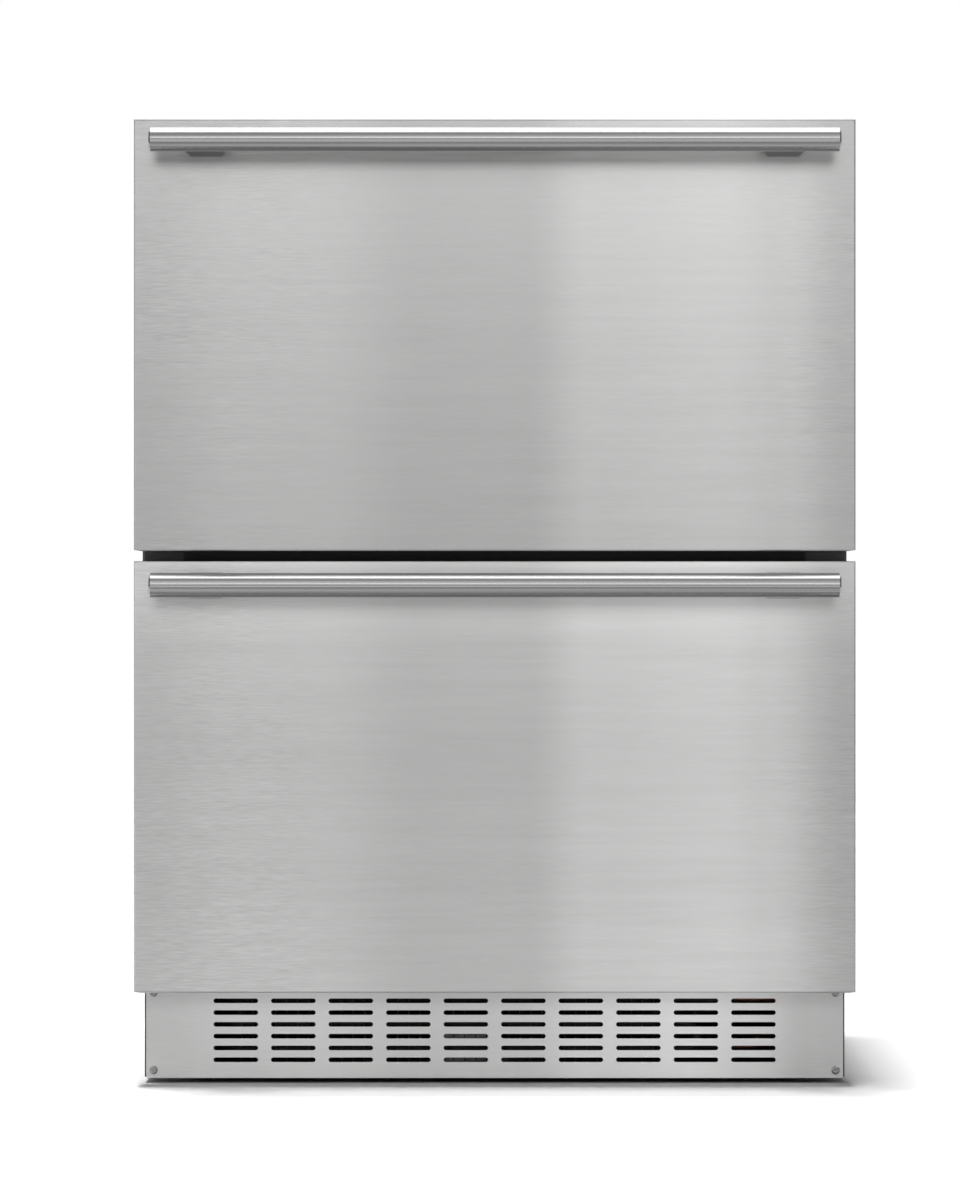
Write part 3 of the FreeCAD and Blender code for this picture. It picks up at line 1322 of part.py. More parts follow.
def evaporator_cover():
    """Panel in front of the evaporator with a fan guard and return slots."""
    x = CAVITY_X - COVER_CLEARANCE
    y = (COVER_Y, COVER_Y + COVER_T)
    cover = wide_box(x, y, (HUMP_Z + COVER_CLEARANCE, CEILING_Z - COVER_CLEARANCE))
    cut_y = COVER_Y - 1
    depth = COVER_T + 2
    openings = []
    spoke_reach = GUARD_INNER_R + GUARD_BANDS * GUARD_PITCH
    spoke_half = GUARD_SPOKE_W / 2
    spoke_y = (cut_y - 1, cut_y + depth + 1)
    spokes = [
        wide_box(half_x, spoke_y, (EVAPORATOR_FAN_Z - half_z, EVAPORATOR_FAN_Z + half_z))
        for half_x, half_z in ((spoke_reach, spoke_half), (spoke_half, spoke_reach))
    ]
    for band in range(GUARD_BANDS):
        inner_r = GUARD_INNER_R + band * GUARD_PITCH
        hub = rod((0, cut_y, EVAPORATOR_FAN_Z), (0, 1, 0), inner_r, depth)
        disc = rod((0, cut_y, EVAPORATOR_FAN_Z), (0, 1, 0), inner_r + GUARD_GAP, depth)
        openings.append(disc.cut([hub] + spokes))
    for z in [HUMP_Z + rise for rise in AIR_SLOT_RISES] + [CEILING_Z - AIR_SLOT_DROP]:
        for k in range(-AIR_SLOTS_EACH_SIDE, AIR_SLOTS_EACH_SIDE + 1):
            x = k * AIR_SLOT_PITCH
            slot_x = (x - AIR_SLOT_W / 2, x + AIR_SLOT_W / 2)
            openings.append(box(slot_x, (cut_y, cut_y + depth), (z - AIR_SLOT_H / 2, z + AIR_SLOT_H / 2)))
    return cover.cut(openings)


# Controls


def control_panel():
    """Touch panel under the ceiling, with its face tilted to the user."""
    front = LINER_Y + PANEL_SETBACK
    rear = front + PANEL_D
    outline = [
        (front, CEILING_Z),
        (front, CEILING_Z - PANEL_LIP_H),
        (front + PANEL_SLOPE_D, CEILING_Z - PANEL_H),
        (rear, CEILING_Z - PANEL_H),
        (rear, CEILING_Z),
    ]
    panel = side_profile(outline, PANEL_W / 2)
    shown = [edge for edge in panel.Edges if any(vertex.Z < CEILING_Z - 1e-6 for vertex in edge.Vertexes)]
    return panel.makeFillet(PANEL_EDGE_R, shown)


def light_lens():
    """Diffuser of the ceiling light."""
    front = LINER_Y + PANEL_SETBACK + PANEL_D + LENS_GAP
    z = (CEILING_Z - LENS_H, CEILING_Z)
    lens = wide_box(LENS_W / 2, (front, front + LENS_D), z)
    lower = [edge for edge in lens.Edges if all(abs(v.Z - z[0]) < 1e-6 for v in edge.Vertexes)]
    return lens.makeFillet(LENS_EDGE_R, lower)


def control_box():
    """Housing of the control board on the base pan."""
    x0 = -BASE_X + PAN_T + CONTROL_BOX_GAP
    y0 = MACHINE_Y + SHEET_T + CONTROL_BOX_GAP
    x = (x0, x0 + CONTROL_BOX_W)
    y = (y0, y0 + CONTROL_BOX_D)
    top = PAN_TOP + CONTROL_BOX_H
    body = rounded_box(x, y, (PAN_TOP, top), CONTROL_BOX_EDGE_R)
    lid_z = (top - CONTROL_LID_H, top - CONTROL_LID_H + LID_GROOVE)
    core_x = (x[0] + LID_GROOVE, x[1] - LID_GROOVE)
    core_y = (y[0] + LID_GROOVE, y[1] - LID_GROOVE)
    core = rounded_box(core_x, core_y, lid_z, CONTROL_BOX_EDGE_R - LID_GROOVE)
    return body.cut(box((x[0] - 1, x[1] + 1), (y[0] - 1, y[1] + 1), lid_z).cut(core))


def inlet_x(grow):
    """Left and right of the power inlet's body."""
    return (-FOOT_X - INLET_W / 2 - grow, -FOOT_X + INLET_W / 2 + grow)


def inlet_z(grow):
    """Foot and top of the power inlet's body."""
    return (INLET_Z - INLET_H / 2 - grow, INLET_Z + INLET_H / 2 + grow)


def power_inlet():
    """Three-pin appliance inlet in the machine cover."""
    outside = REAR_Y + SHEET_T
    body = box(inlet_x(0), (outside - INLET_DEPTH, outside), inlet_z(0))
    flange = box(inlet_x(INLET_FLANGE), (outside, outside + INLET_FLANGE_T), inlet_z(INLET_WALL))
    floor_y = outside - INLET_DEPTH + INLET_FLOOR_T
    well = box(inlet_x(-INLET_WALL), (floor_y, outside + INLET_FLANGE_T + 1), inlet_z(-INLET_WALL))
    solid = joined([body, flange]).cut(well)
    pins = []
    for dx, dz in ((-PIN_SPACING, -PIN_DROP), (0, PIN_DROP), (PIN_SPACING, -PIN_DROP)):
        x = -FOOT_X + dx
        z = INLET_Z + dz
        pins.append(Part.makeBox(PIN_W, PIN_L + 1, PIN_H, V(x - PIN_W / 2, floor_y - 1, z - PIN_H / 2)))
    return joined([solid] + pins)


# Every piece, by the name of its file


def all_pieces():
    """Name and shape of each sub-part."""
    pieces = {
        "cabinet_wrap": cabinet_wrap(),
        "cabinet_foam": cabinet_foam(),
        "cabinet_liner": cabinet_liner(),
        "front_frame": front_frame(),
        "bottom_deck": bottom_deck(),
        "back_panel": back_panel(),
        "base_pan": base_pan(),
        "kick_grille": kick_grille(),
        "machine_cover": machine_cover(),
        "cabinet_screws": cabinet_screws(),
        "outer_rails": outer_rails(),
        "compressor": compressor(),
        "compressor_grommets": compressor_grommets(),
        "condenser": condenser(),
        "condenser_fan_shroud": condenser_fan_shroud(),
        "condenser_fan_motor": condenser_fan_motor(),
        "condenser_fan": condenser_fan(),
        "discharge_line": discharge_line(),
        "liquid_line": liquid_line(),
        "suction_line": suction_line(),
        "evaporator": evaporator(),
        "evaporator_cover": evaporator_cover(),
        "evaporator_fan_motor": evaporator_fan_motor(),
        "evaporator_fan": evaporator_fan(),
        "drain_trough": drain_trough(),
        "drip_pan": drip_pan(),
        "control_box": control_box(),
        "power_inlet": power_inlet(),
        "control_panel": control_panel(),
        "light_lens": light_lens(),
    }
    for side_name, side in (("left", -1), ("right", 1)):
        for end in FOOT_YS:
            pieces[f"foot_{end}_{side_name}"] = foot(side, end)
    makers = {
        "front_skin": front_skin,
        "front_foam": front_foam,
        "front_liner": front_liner,
        "gasket": gasket,
        "handle_bar": handle_bar,
        "handle_posts": handle_posts,
        "handle_screws": handle_screws,
        "bin": drawer_bin,
        "side_brackets": side_brackets,
        "inner_rails": inner_rails,
        "middle_rails": middle_rails,
        "outer_ball_strips": outer_ball_strips,
        "inner_ball_strips": inner_ball_strips,
    }
    for drawer in (UPPER, LOWER):
        for name, make in makers.items():
            pieces[f"{drawer.name}_{name}"] = make(drawer)
    return pieces


os.makedirs("parts", exist_ok=True)
for node, shape in all_pieces().items():
    if not shape.isValid():
        print("not a valid shape:", node)
    shape.exportStep(f"parts/{node}.step")
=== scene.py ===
import logging
import math
from dataclasses import dataclass, replace
from enum import Enum
from typing import Iterable, Sequence

import bmesh
import bpy
from mathutils import Matrix, Vector


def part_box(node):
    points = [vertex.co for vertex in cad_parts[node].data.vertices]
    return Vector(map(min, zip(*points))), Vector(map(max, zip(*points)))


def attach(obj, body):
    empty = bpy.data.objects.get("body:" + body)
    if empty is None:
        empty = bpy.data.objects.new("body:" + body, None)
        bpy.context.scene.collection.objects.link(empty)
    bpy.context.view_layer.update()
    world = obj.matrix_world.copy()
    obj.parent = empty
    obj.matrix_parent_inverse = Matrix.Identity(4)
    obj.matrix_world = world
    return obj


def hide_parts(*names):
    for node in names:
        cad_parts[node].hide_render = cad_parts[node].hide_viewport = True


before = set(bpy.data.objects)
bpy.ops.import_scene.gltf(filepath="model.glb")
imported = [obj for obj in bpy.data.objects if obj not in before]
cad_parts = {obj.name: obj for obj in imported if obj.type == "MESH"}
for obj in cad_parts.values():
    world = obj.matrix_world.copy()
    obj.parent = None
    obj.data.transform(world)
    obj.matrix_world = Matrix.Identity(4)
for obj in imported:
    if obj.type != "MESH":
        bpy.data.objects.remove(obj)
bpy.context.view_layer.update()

LOG = logging.getLogger("freezer_drawers")

Colour = tuple[float, float, float]
Point = tuple[float, float, float]
Span = tuple[float, float]
Socket = bpy.types.NodeSocket
Shape = bmesh.types.BMesh

MM = 0.001
SLACK = 0.1 * MM
SHARP_ANGLE = math.radians(32)
WHITE: Colour = (1.0, 1.0, 1.0)
DRAWERS = ("upper", "lower")
CABINET = "cabinet"


def shaded(colour: Colour, factor: float) -> tuple[float, float, float, float]:
    """Colour made lighter or darker by a factor, with full opacity."""
    return tuple(min(1.0, channel * factor) for channel in colour) + (1.0,)


def evenly(first: float, last: float, count: int) -> list[float]:
    """Places from the first to the last, the same distance apart."""
    return [first + k * (last - first) / (count - 1) for k in range(count)]


class NodeGraph:
    """Node tree of one material, with short calls for the nodes that the finishes share."""

    NOISE_ROUGHNESS = 0.6
    NOISE_MEAN = 0.5
    NOISE_REACH = (0.3, 0.7)
    LEAST_ROUGHNESS = 0.02

    def __init__(self, name: str) -> None:
        """Start a material that has a Principled shader and Object coordinates.

        Args:
            name: Name of the material.
        """
        self.material = bpy.data.materials.new(name)
        self.material.use_nodes = True
        self.nodes = self.material.node_tree.nodes
        self.links = self.material.node_tree.links
        self.shader = self.nodes["Principled BSDF"]
        self.place = self.add("ShaderNodeTexCoord").outputs["Object"]

    def add(self, kind: str, **values: object) -> bpy.types.Node:
        """Add a node and set its properties.

        Args:
            kind: Type of the node.
            values: Its properties by name.

        Returns:
            The new node.
        """
        node = self.nodes.new(kind)
        for key, value in values.items():
            setattr(node, key, value)
        return node

    def set(self, **values: object) -> None:
        """Set sockets of the shader; an underscore in a name stands for a space."""
        for key, value in values.items():
            self.shader.inputs[key.replace("_", " ")].default_value = value

    def feed(self, source: Socket, socket: str) -> None:
        """Link a value to a socket of the shader."""
        self.links.new(source, self.shader.inputs[socket])

    def scaled(self, per_metre: Point) -> Socket:
        """Object coordinates, stretched along each axis.

        Args:
            per_metre: Pattern units in one metre along X, Y and Z.

        Returns:
            The stretched coordinates.
        """
        mapping = self.add("ShaderNodeMapping")
        mapping.inputs["Scale"].default_value = per_metre
        self.links.new(self.place, mapping.inputs["Vector"])
        return mapping.outputs["Vector"]

    def along(self, axis: str) -> Socket:
        """Place along one axis.

        Args:
            axis: Letter of the axis.

        Returns:
            Distance from the origin in metres.
        """
        parts = self.add("ShaderNodeSeparateXYZ")
        self.links.new(self.place, parts.inputs["Vector"])
        return parts.outputs[axis]

    def noise(self, per_metre: Point, detail: float = 2.0) -> Socket:
        """Soft noise on stretched coordinates.

        Args:
            per_metre: Pattern units in one metre along X, Y and Z.
            detail: Number of finer layers.

        Returns:
            Values about one half.
        """
        texture = self.add("ShaderNodeTexNoise")
        texture.inputs["Scale"].default_value = 1.0
        texture.inputs["Detail"].default_value = detail
        texture.inputs["Roughness"].default_value = self.NOISE_ROUGHNESS
        self.links.new(self.scaled(per_metre), texture.inputs["Vector"])
        return texture.outputs["Fac"]

    def cells(self, per_metre: float, output: str) -> Socket:
        """Cell pattern.

        Args:
            per_metre: Cells in one metre.
            output: Distance for rounded cells or Color for flat ones.

        Returns:
            The chosen output of the cells.
        """
        texture = self.add("ShaderNodeTexVoronoi")
        texture.inputs["Scale"].default_value = per_metre
        self.links.new(self.place, texture.inputs["Vector"])
        return texture.outputs[output]

    def joined(self, operation: str, first: Socket, second: Socket | float) -> Socket:
        """Arithmetic on a pattern.

        Args:
            operation: Name of the operation.
            first: A pattern.
            second: Another pattern, or a number.

        Returns:
            The result.
        """
        node = self.add("ShaderNodeMath", operation=operation)
        self.links.new(first, node.inputs[0])
        if isinstance(second, Socket):
            self.links.new(second, node.inputs[1])
        else:
            node.inputs[1].default_value = second
        return node.outputs["Value"]

    def average(self, first: Socket, second: Socket) -> Socket:
        """Mean of two patterns."""
        return self.joined("MULTIPLY", self.joined("ADD", first, second), 0.5)

    def centred(self, source: Socket) -> Socket:
        """Noise moved to lie about zero."""
        return self.joined("SUBTRACT", source, self.NOISE_MEAN)

    def ranged(self, source: Socket, old: Span, new: Span) -> Socket:
        """Carry one range of values over to another.

        Args:
            source: The values.
            old: Their lowest and highest value.
            new: What these two become.

        Returns:
            The new values.
        """
        node = self.add("ShaderNodeMapRange")
        self.links.new(source, node.inputs["Value"])
        for name, value in zip(("From Min", "From Max", "To Min", "To Max"), (*old, *new)):
            node.inputs[name].default_value = value
        return node.outputs["Result"]

    def span(self, source: Socket, low: float, high: float) -> Socket:
        """Stretch the middle of a noise over a range."""
        return self.ranged(source, self.NOISE_REACH, (low, high))

    def rough(self, source: Socket, roughness: float, swing: float) -> None:
        """Let a noise vary the roughness.

        Args:
            source: Noise about one half.
            roughness: The roughness in the middle.
            swing: How far it falls and rises.
        """
        low = max(self.LEAST_ROUGHNESS, roughness - swing)
        self.feed(self.span(source, low, roughness + swing), "Roughness")

    def shades(self, source: Socket, colour: Colour, swing: float) -> Socket:
        """Darker and lighter shades of one colour.

        Args:
            source: Noise about one half.
            colour: The colour in the middle.
            swing: Share by which it darkens and lightens.

        Returns:
            The shades.
        """
        ramp = self.add("ShaderNodeValToRGB")
        dark, light = ramp.color_ramp.elements
        dark.position, light.position = self.NOISE_REACH
        dark.color = shaded(colour, 1 - swing)
        light.color = shaded(colour, 1 + swing)
        self.links.new(source, ramp.inputs["Fac"])
        return ramp.outputs["Color"]

    def tinted(self, colour: Socket, factor: Socket) -> Socket:
        """Colour multiplied by a pattern.

        Args:
            colour: The colour.
            factor: The pattern.

        Returns:
            The product.
        """
        node = self.add("ShaderNodeVectorMath", operation="MULTIPLY")
        self.links.new(colour, node.inputs[0])
        self.links.new(factor, node.inputs[1])
        return node.outputs["Vector"]

    def bands(self, axis: str, stops: Sequence[Span]) -> Socket:
        """Soft bands across one axis.

        Args:
            axis: Letter of the axis.
            stops: Places along it, each with its factor.

        Returns:
            The factors.
        """
        first, last = stops[0][0], stops[-1][0]
        across = self.ranged(self.along(axis), (first, last), (0.0, 1.0))
        ramp = self.add("ShaderNodeValToRGB")
        ramp.color_ramp.interpolation = "EASE"
        for place, _ in stops[1:-1]:
            ramp.color_ramp.elements.new((place - first) / (last - first))
        for stop, (_, factor) in zip(ramp.color_ramp.elements, stops):
            stop.color = shaded(WHITE, factor)
        self.links.new(across, ramp.inputs["Fac"])
        return ramp.outputs["Color"]

    def relief(self, height: Socket, depth: float, under: Socket | None = None) -> Socket:
        """Bumps from a pattern.

        Args:
            height: The pattern.
            depth: Height in metres where the pattern is one.
            under: Relief that lies below this one.

        Returns:
            The bumped normal.
        """
        bump = self.add("ShaderNodeBump")
        bump.inputs["Strength"].default_value = 1.0
        bump.inputs["Distance"].default_value = depth
        self.links.new(height, bump.inputs["Height"])
        if under is not None:
            self.links.new(under, bump.inputs["Normal"])
        return bump.outputs["Normal"]


class Pattern(Enum):
    """What breaks up the surface of a finish."""

    PEELED = "sprayed paint"
    MOULDED = "fine moulded grain"
    SPANGLED = "zinc crystals"
    CELLULAR = "foam cells"
    DRAWN = "lines of drawn or turned metal"


@dataclass(frozen=True)
class Finish:
    """Finish of one material slot."""

    slot: str
    colour: Colour
    roughness: float
    pattern: Pattern
    grain: float = 1.0 * MM
    metallic: float = 0.0
    swing: float = 0.08
    gloss_swing: float = 0.03
    depth: float = 0.006 * MM
    coat: float = 0.0
    transmission: float = 0.0
    clouds: Point = (11.0, 11.0, 11.0)
    cloud_detail: float = 3.0
    draw_ratio: float = 30.0

    DETAIL = {Pattern.PEELED: 1.0, Pattern.MOULDED: 4.0, Pattern.DRAWN: 3.0}

    def texture(self, graph: NodeGraph) -> Socket:
        """Pattern of the surface.

        Args:
            graph: The material's nodes.

        Returns:
            Values about one half.
        """
        rate = 1 / self.grain
        if self.pattern is Pattern.SPANGLED:
            return graph.cells(rate, "Color")
        if self.pattern is Pattern.CELLULAR:
            return graph.cells(rate, "Distance")
        lengthways = rate / self.draw_ratio if self.pattern is Pattern.DRAWN else rate
        return graph.noise((lengthways, rate, rate), self.DETAIL[self.pattern])

    def material(self) -> bpy.types.Material:
        """Procedural material of the finish.

        Returns:
            The new material.
        """
        graph = NodeGraph(self.slot)
        texture = self.texture(graph)
        clouds = graph.noise(self.clouds, self.cloud_detail)
        graph.feed(graph.shades(graph.average(texture, clouds), self.colour, self.swing), "Base Color")
        graph.rough(clouds, self.roughness, self.gloss_swing)
        graph.feed(graph.relief(texture, self.depth), "Normal")
        graph.set(Metallic=self.metallic, Coat_Weight=self.coat, Transmission_Weight=self.transmission)
        return graph.material


# Painted reflection bands across the brushed sheets from left to right, as places along X with their
# factors
FRONT_PAINTED_SHEEN = (
    (-293 * MM, 0.755),
    (-210 * MM, 0.845),
    (-150 * MM, 0.85),
    (-60 * MM, 0.75),
    (25 * MM, 0.765),
    (80 * MM, 0.93),
    (190 * MM, 1.0),
    (240 * MM, 0.94),
    (293 * MM, 0.755),
)
LOWER_PAINTED_SHEEN = FRONT_PAINTED_SHEEN[:-2] + ((225 * MM, 0.945), (293 * MM, 0.665))
GRILLE_PAINTED_SHEEN = (
    (-293 * MM, 0.7),
    (-210 * MM, 0.82),
    (-150 * MM, 0.83),
    (-60 * MM, 0.75),
    (25 * MM, 0.77),
    (80 * MM, 0.92),
    (165 * MM, 1.0),
    (213 * MM, 0.88),
    (263 * MM, 0.68),
    (293 * MM, 0.64),
)

# Painted shading of the fronts from bottom to top, as places along Z with their factors, and a painted dark
# line of shade at the top fold
UPPER_PAINTED_SHADING = (
    (443 * MM, 1.0),
    (799.2 * MM, 1.0),
    (799.8 * MM, 0.42),
)
LOWER_PAINTED_SHADING = (
    (85 * MM, 0.96),
    (197 * MM, 0.87),
    (279 * MM, 0.81),
    (362 * MM, 0.825),
    (386 * MM, 0.905),
    (428 * MM, 1.0),
    (434.5 * MM, 1.0),
    (435.0 * MM, 0.42),
)


@dataclass(frozen=True)
class BrushedSteel:
    """Stainless steel, brushed from side to side, with painted reflection bands and painted shading in its
    colour.
    """

    name: str
    tone: Colour
    roughness: float = 0.3
    painted_sheen: Sequence[Span] = FRONT_PAINTED_SHEEN
    painted_shading: Sequence[Span] | None = None
    swing: float = 0.12
    gloss_swing: float = 0.02
    anisotropy: float = 0.5
    quarter_turn: float = 0.25
    streaks: Point = (60.0, 60.0, 1000.0)
    wide_streaks: Point = (9.0, 9.0, 230.0)
    patches: Point = (6.0, 6.0, 9.0)
    patch_range: Span = (0.25, 1.0)
    wide_share: float = 0.22
    scratch_depth: float = 0.0008 * MM
    crown_z: float | None = None
    crown: float = 0.09

    # How strongly the brushed grain shows from left to right: the grain is the sheet's own, its varying
    # strength across X is painted light
    GRAIN_AND_PAINTED_LIGHT_BANDS = (
        (-293 * MM, 1.0),
        (-190 * MM, 0.9),
        (-110 * MM, 0.35),
        (200 * MM, 0.25),
        (293 * MM, 0.8),
    )

    def material(self) -> bpy.types.Material:
        """Procedural material of the brushed sheet, with painted reflection bands and painted shading in
        its colour.

        Returns:
            The new material.
        """
        graph = NodeGraph(self.name)
        fine = graph.noise(self.streaks)
        wide = graph.noise(self.wide_streaks)
        patches = graph.span(graph.noise(self.patches, detail=1.0), *self.patch_range)
        # Grain strength: random patches times the painted light across X
        strength = graph.joined("MULTIPLY", patches, graph.bands("X", self.GRAIN_AND_PAINTED_LIGHT_BANDS))
        crisp = graph.joined("MULTIPLY", graph.centred(fine), strength)
        soft = graph.joined("MULTIPLY", graph.centred(wide), self.wide_share)
        shown = graph.joined("ADD", graph.joined("ADD", crisp, soft), graph.NOISE_MEAN)
        # Painted reflection bands across X multiply the steel's colour
        toned = graph.tinted(graph.shades(shown, self.tone, self.swing), graph.bands("X", self.painted_sheen))
        # Painted shading up Z multiplies the colour as well
        if self.painted_shading is not None:
            toned = graph.tinted(toned, graph.bands("Z", self.painted_shading))
        graph.feed(toned, "Base Color")
        graph.rough(wide, self.roughness, self.gloss_swing)
        normal = None if self.crown_z is None else self.crowned(graph)
        graph.feed(graph.relief(fine, self.scratch_depth, normal), "Normal")
        graph.set(Metallic=1.0, Anisotropic=self.anisotropy, Anisotropic_Rotation=self.quarter_turn)
        return graph.material

    def crowned(self, graph: NodeGraph) -> Socket:
        """Slight outward crown of a folded front.

        Args:
            graph: The material's nodes.

        Returns:
            The bent normal.
        """
        off = graph.joined("SUBTRACT", graph.along("Z"), self.crown_z)
        square = graph.joined("MULTIPLY", off, off)
        return graph.relief(graph.joined("MULTIPLY", square, -self.crown), depth=1.0)


@dataclass(frozen=True)
class TurnedBar:
    """Satin round bar with fine lines along its length."""

    name: str
    tone: Colour
    roughness: float
    swing: float = 0.2
    gloss_swing: float = 0.02
    ridges: Point = (1.2, 330.0, 330.0)
    edge: float = 1.0
    lines: Point = (1.5, 700.0, 700.0)
    line_depth: float = 0.0003 * MM

    def material(self) -> bpy.types.Material:
        """Procedural material of the bar.

        Returns:
            The new material.
        """
        graph = NodeGraph(self.name)
        lines = graph.noise(self.lines)
        ridges = graph.noise(self.ridges)
        graph.feed(graph.shades(graph.average(lines, ridges), self.tone, self.swing), "Base Color")
        graph.rough(lines, self.roughness, self.gloss_swing)
        graph.feed(graph.relief(lines, self.line_depth), "Normal")
        graph.set(Metallic=1.0, Specular_Tint=shaded(WHITE, self.edge))
        return graph.material


@dataclass(frozen=True)
class LitMarks:
    """Glowing figures of the display."""

    name: str
    colour: Colour
    glow: float
    roughness: float = 0.4
    mottle: Point = (400.0, 400.0, 400.0)
    swing: float = 0.08

    def material(self) -> bpy.types.Material:
        """Procedural material of lit segments, a little uneven.

        Returns:
            The new material.
        """
        graph = NodeGraph(self.name)
        uneven = graph.shades(graph.noise(self.mottle, detail=1.0), self.colour, self.swing)
        graph.feed(uneven, "Base Color")
        graph.feed(uneven, "Emission Color")
        graph.set(Emission_Strength=self.glow, Roughness=self.roughness)
        return graph.material


# Tones of the stainless parts: one steel, with lighter copies of it on the lower front and the grille as
# painted light, and darker copies on the bar and the posts as painted shade
STEEL_TONE: Colour = (0.52, 0.52, 0.517)
LOWER_FRONT_LIT_TONE: Colour = (0.72, 0.72, 0.716)
GRILLE_LIT_TONE: Colour = (0.84, 0.84, 0.835)
BAR_SHADED_TONE: Colour = (0.35, 0.35, 0.348)
POST_SHADED_TONE: Colour = (0.24, 0.24, 0.238)
FIGURE_TONE: Colour = (0.72, 0.88, 1.0)
SHEET_STEEL = BrushedSteel("stainless", STEEL_TONE)
GRILLE_STEEL = BrushedSteel("grille_steel", GRILLE_LIT_TONE, painted_sheen=GRILLE_PAINTED_SHEEN, swing=0.05)
FRONT_STEEL = {
    "upper": BrushedSteel("upper_front_steel", STEEL_TONE, painted_shading=UPPER_PAINTED_SHADING),
    "lower": BrushedSteel(
        "lower_front_steel", LOWER_FRONT_LIT_TONE, painted_sheen=LOWER_PAINTED_SHEEN, painted_shading=LOWER_PAINTED_SHADING, crown=0.02
    ),
}
BAR_STEEL = TurnedBar("handle_steel", BAR_SHADED_TONE, roughness=0.2)
# The posts' darker steel and dimmer edge reflections are painted shade under the bars
POST_SHADED_STEEL = TurnedBar("post_steel_painted_shade", POST_SHADED_TONE, roughness=0.12, edge=0.38)
LIT_FIGURES = LitMarks("display_digits", FIGURE_TONE, glow=1.2)
PLAIN_FINISHES = (
    Finish("cabinet_paint", (0.026, 0.026, 0.028), 0.42, Pattern.PEELED, 1.4 * MM, swing=0.03, coat=0.15),
    Finish("frame_plastic", (0.012, 0.012, 0.013), 0.55, Pattern.MOULDED, 0.7 * MM, swing=0.15),
    Finish("liner_plastic", (0.78, 0.79, 0.79), 0.3, Pattern.PEELED, 1.8 * MM, swing=0.02),
    Finish("bin_plastic", (0.7, 0.72, 0.73), 0.3, Pattern.PEELED, 2.4 * MM, swing=0.012, gloss_swing=0.012),
    Finish("insulation", (0.7, 0.6, 0.34), 0.85, Pattern.CELLULAR, 1.5 * MM, swing=0.1, depth=0.2 * MM),
    Finish("seal_rubber", (0.02, 0.02, 0.021), 0.58, Pattern.MOULDED, 0.6 * MM, swing=0.15),
    Finish("galvanised", (0.56, 0.57, 0.58), 0.4, Pattern.SPANGLED, 7 * MM, metallic=0.9, swing=0.07),
    # Screw steel darker than the sheets: painted shade for screws that sit under the fronts
    Finish("screw_steel", (0.3, 0.3, 0.295), 0.14, Pattern.DRAWN, 0.4 * MM, metallic=1.0, swing=0.1),
    Finish("compressor_shell", (0.018, 0.018, 0.019), 0.33, Pattern.PEELED, 1.6 * MM, swing=0.15, coat=0.2),
    Finish("mount_rubber", (0.03, 0.03, 0.03), 0.75, Pattern.MOULDED, 0.8 * MM, swing=0.12),
    Finish("coil_steel", (0.03, 0.03, 0.03), 0.5, Pattern.PEELED, 1.2 * MM, swing=0.15),
    Finish("coil_aluminium", (0.72, 0.73, 0.74), 0.36, Pattern.DRAWN, 0.6 * MM, metallic=1.0),
    Finish("copper", (0.3, 0.14, 0.085), 0.45, Pattern.DRAWN, 0.5 * MM, metallic=1.0, swing=0.14),
    Finish("dark_plastic", (0.03, 0.03, 0.032), 0.5, Pattern.MOULDED, 0.7 * MM, swing=0.12),
    Finish("motor_can", (0.3, 0.31, 0.32), 0.45, Pattern.PEELED, 1.2 * MM, metallic=0.6),
    Finish(
        "lens_plastic", (0.86, 0.88, 0.88), 0.3, Pattern.MOULDED, 0.8 * MM, swing=0.02, transmission=0.3
    ),
    Finish(
        "panel_plastic", (0.014, 0.014, 0.016), 0.14, Pattern.MOULDED, 0.5 * MM, gloss_swing=0.04, coat=0.4
    ),
    Finish("foot_plastic", (0.018, 0.018, 0.018), 0.55, Pattern.MOULDED, 0.8 * MM, swing=0.12),
    Finish("ball_steel", (0.66, 0.66, 0.66), 0.12, Pattern.DRAWN, 0.5 * MM, metallic=1.0, gloss_swing=0.04),
)


def finish_node(name: str, material: bpy.types.Material) -> None:
    """Put a finish on a CAD node."""
    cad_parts[name].data.materials[0] = material


class Wardrobe:
    """Every material of the object, made once and shared."""

    def __init__(self) -> None:
        """Make the materials of all slots."""
        self.by_slot = {finish.slot: finish.material() for finish in PLAIN_FINISHES}
        self.by_slot["handle_steel"] = BAR_STEEL.material()
        # Darker steel for the posts, painted shade under the bars
        self.posts = POST_SHADED_STEEL.material()
        self.by_slot["stainless"] = SHEET_STEEL.material()
        self.figures = LIT_FIGURES.material()

    def dress_nodes(self) -> None:
        """Give each CAD node the finish of its slot, each drawer front a crowned one with painted
        reflection bands and shading, and the handle posts their darker steel of painted shade.
        """
        for name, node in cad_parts.items():
            slot = node.data.materials[0].name.split(".")[0]
            finish_node(name, self.by_slot[slot])
        finish_node("kick_grille", GRILLE_STEEL.material())
        for drawer in DRAWERS:
            skin = f"{drawer}_front_skin"
            low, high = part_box(skin)
            front = replace(FRONT_STEEL[drawer], crown_z=(low.z + high.z) / 2)
            finish_node(skin, front.material())
            finish_node(f"{drawer}_handle_posts", self.posts)
        LOG.info("dressed %d nodes", len(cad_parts))


def body_of(drawer: str) -> str:
    """Name of the body that a drawer's own pieces ride on."""
    return f"{drawer}_drawer"


def new_mesh(name: str, shape: Shape, material: bpy.types.Material) -> bpy.types.Mesh:
    """Turn a bmesh into a mesh of one material.

    Args:
        name: Name of the mesh.
        shape: Its geometry, which is freed.
        material: Its finish.

    Returns:
        The mesh.
    """
    mesh = bpy.data.meshes.new(name)
    shape.to_mesh(mesh)
    shape.free()
    mesh.materials.append(material)
    return mesh


def new_object(name: str, data: bpy.types.ID) -> bpy.types.Object:
    """Put a mesh, a lamp or a camera in the scene.

    Args:
        name: Name of the object.
        data: What it shows.

    Returns:
        The object, at the origin.
    """
    item = bpy.data.objects.new(name, data)
    bpy.context.scene.collection.objects.link(item)
    return item


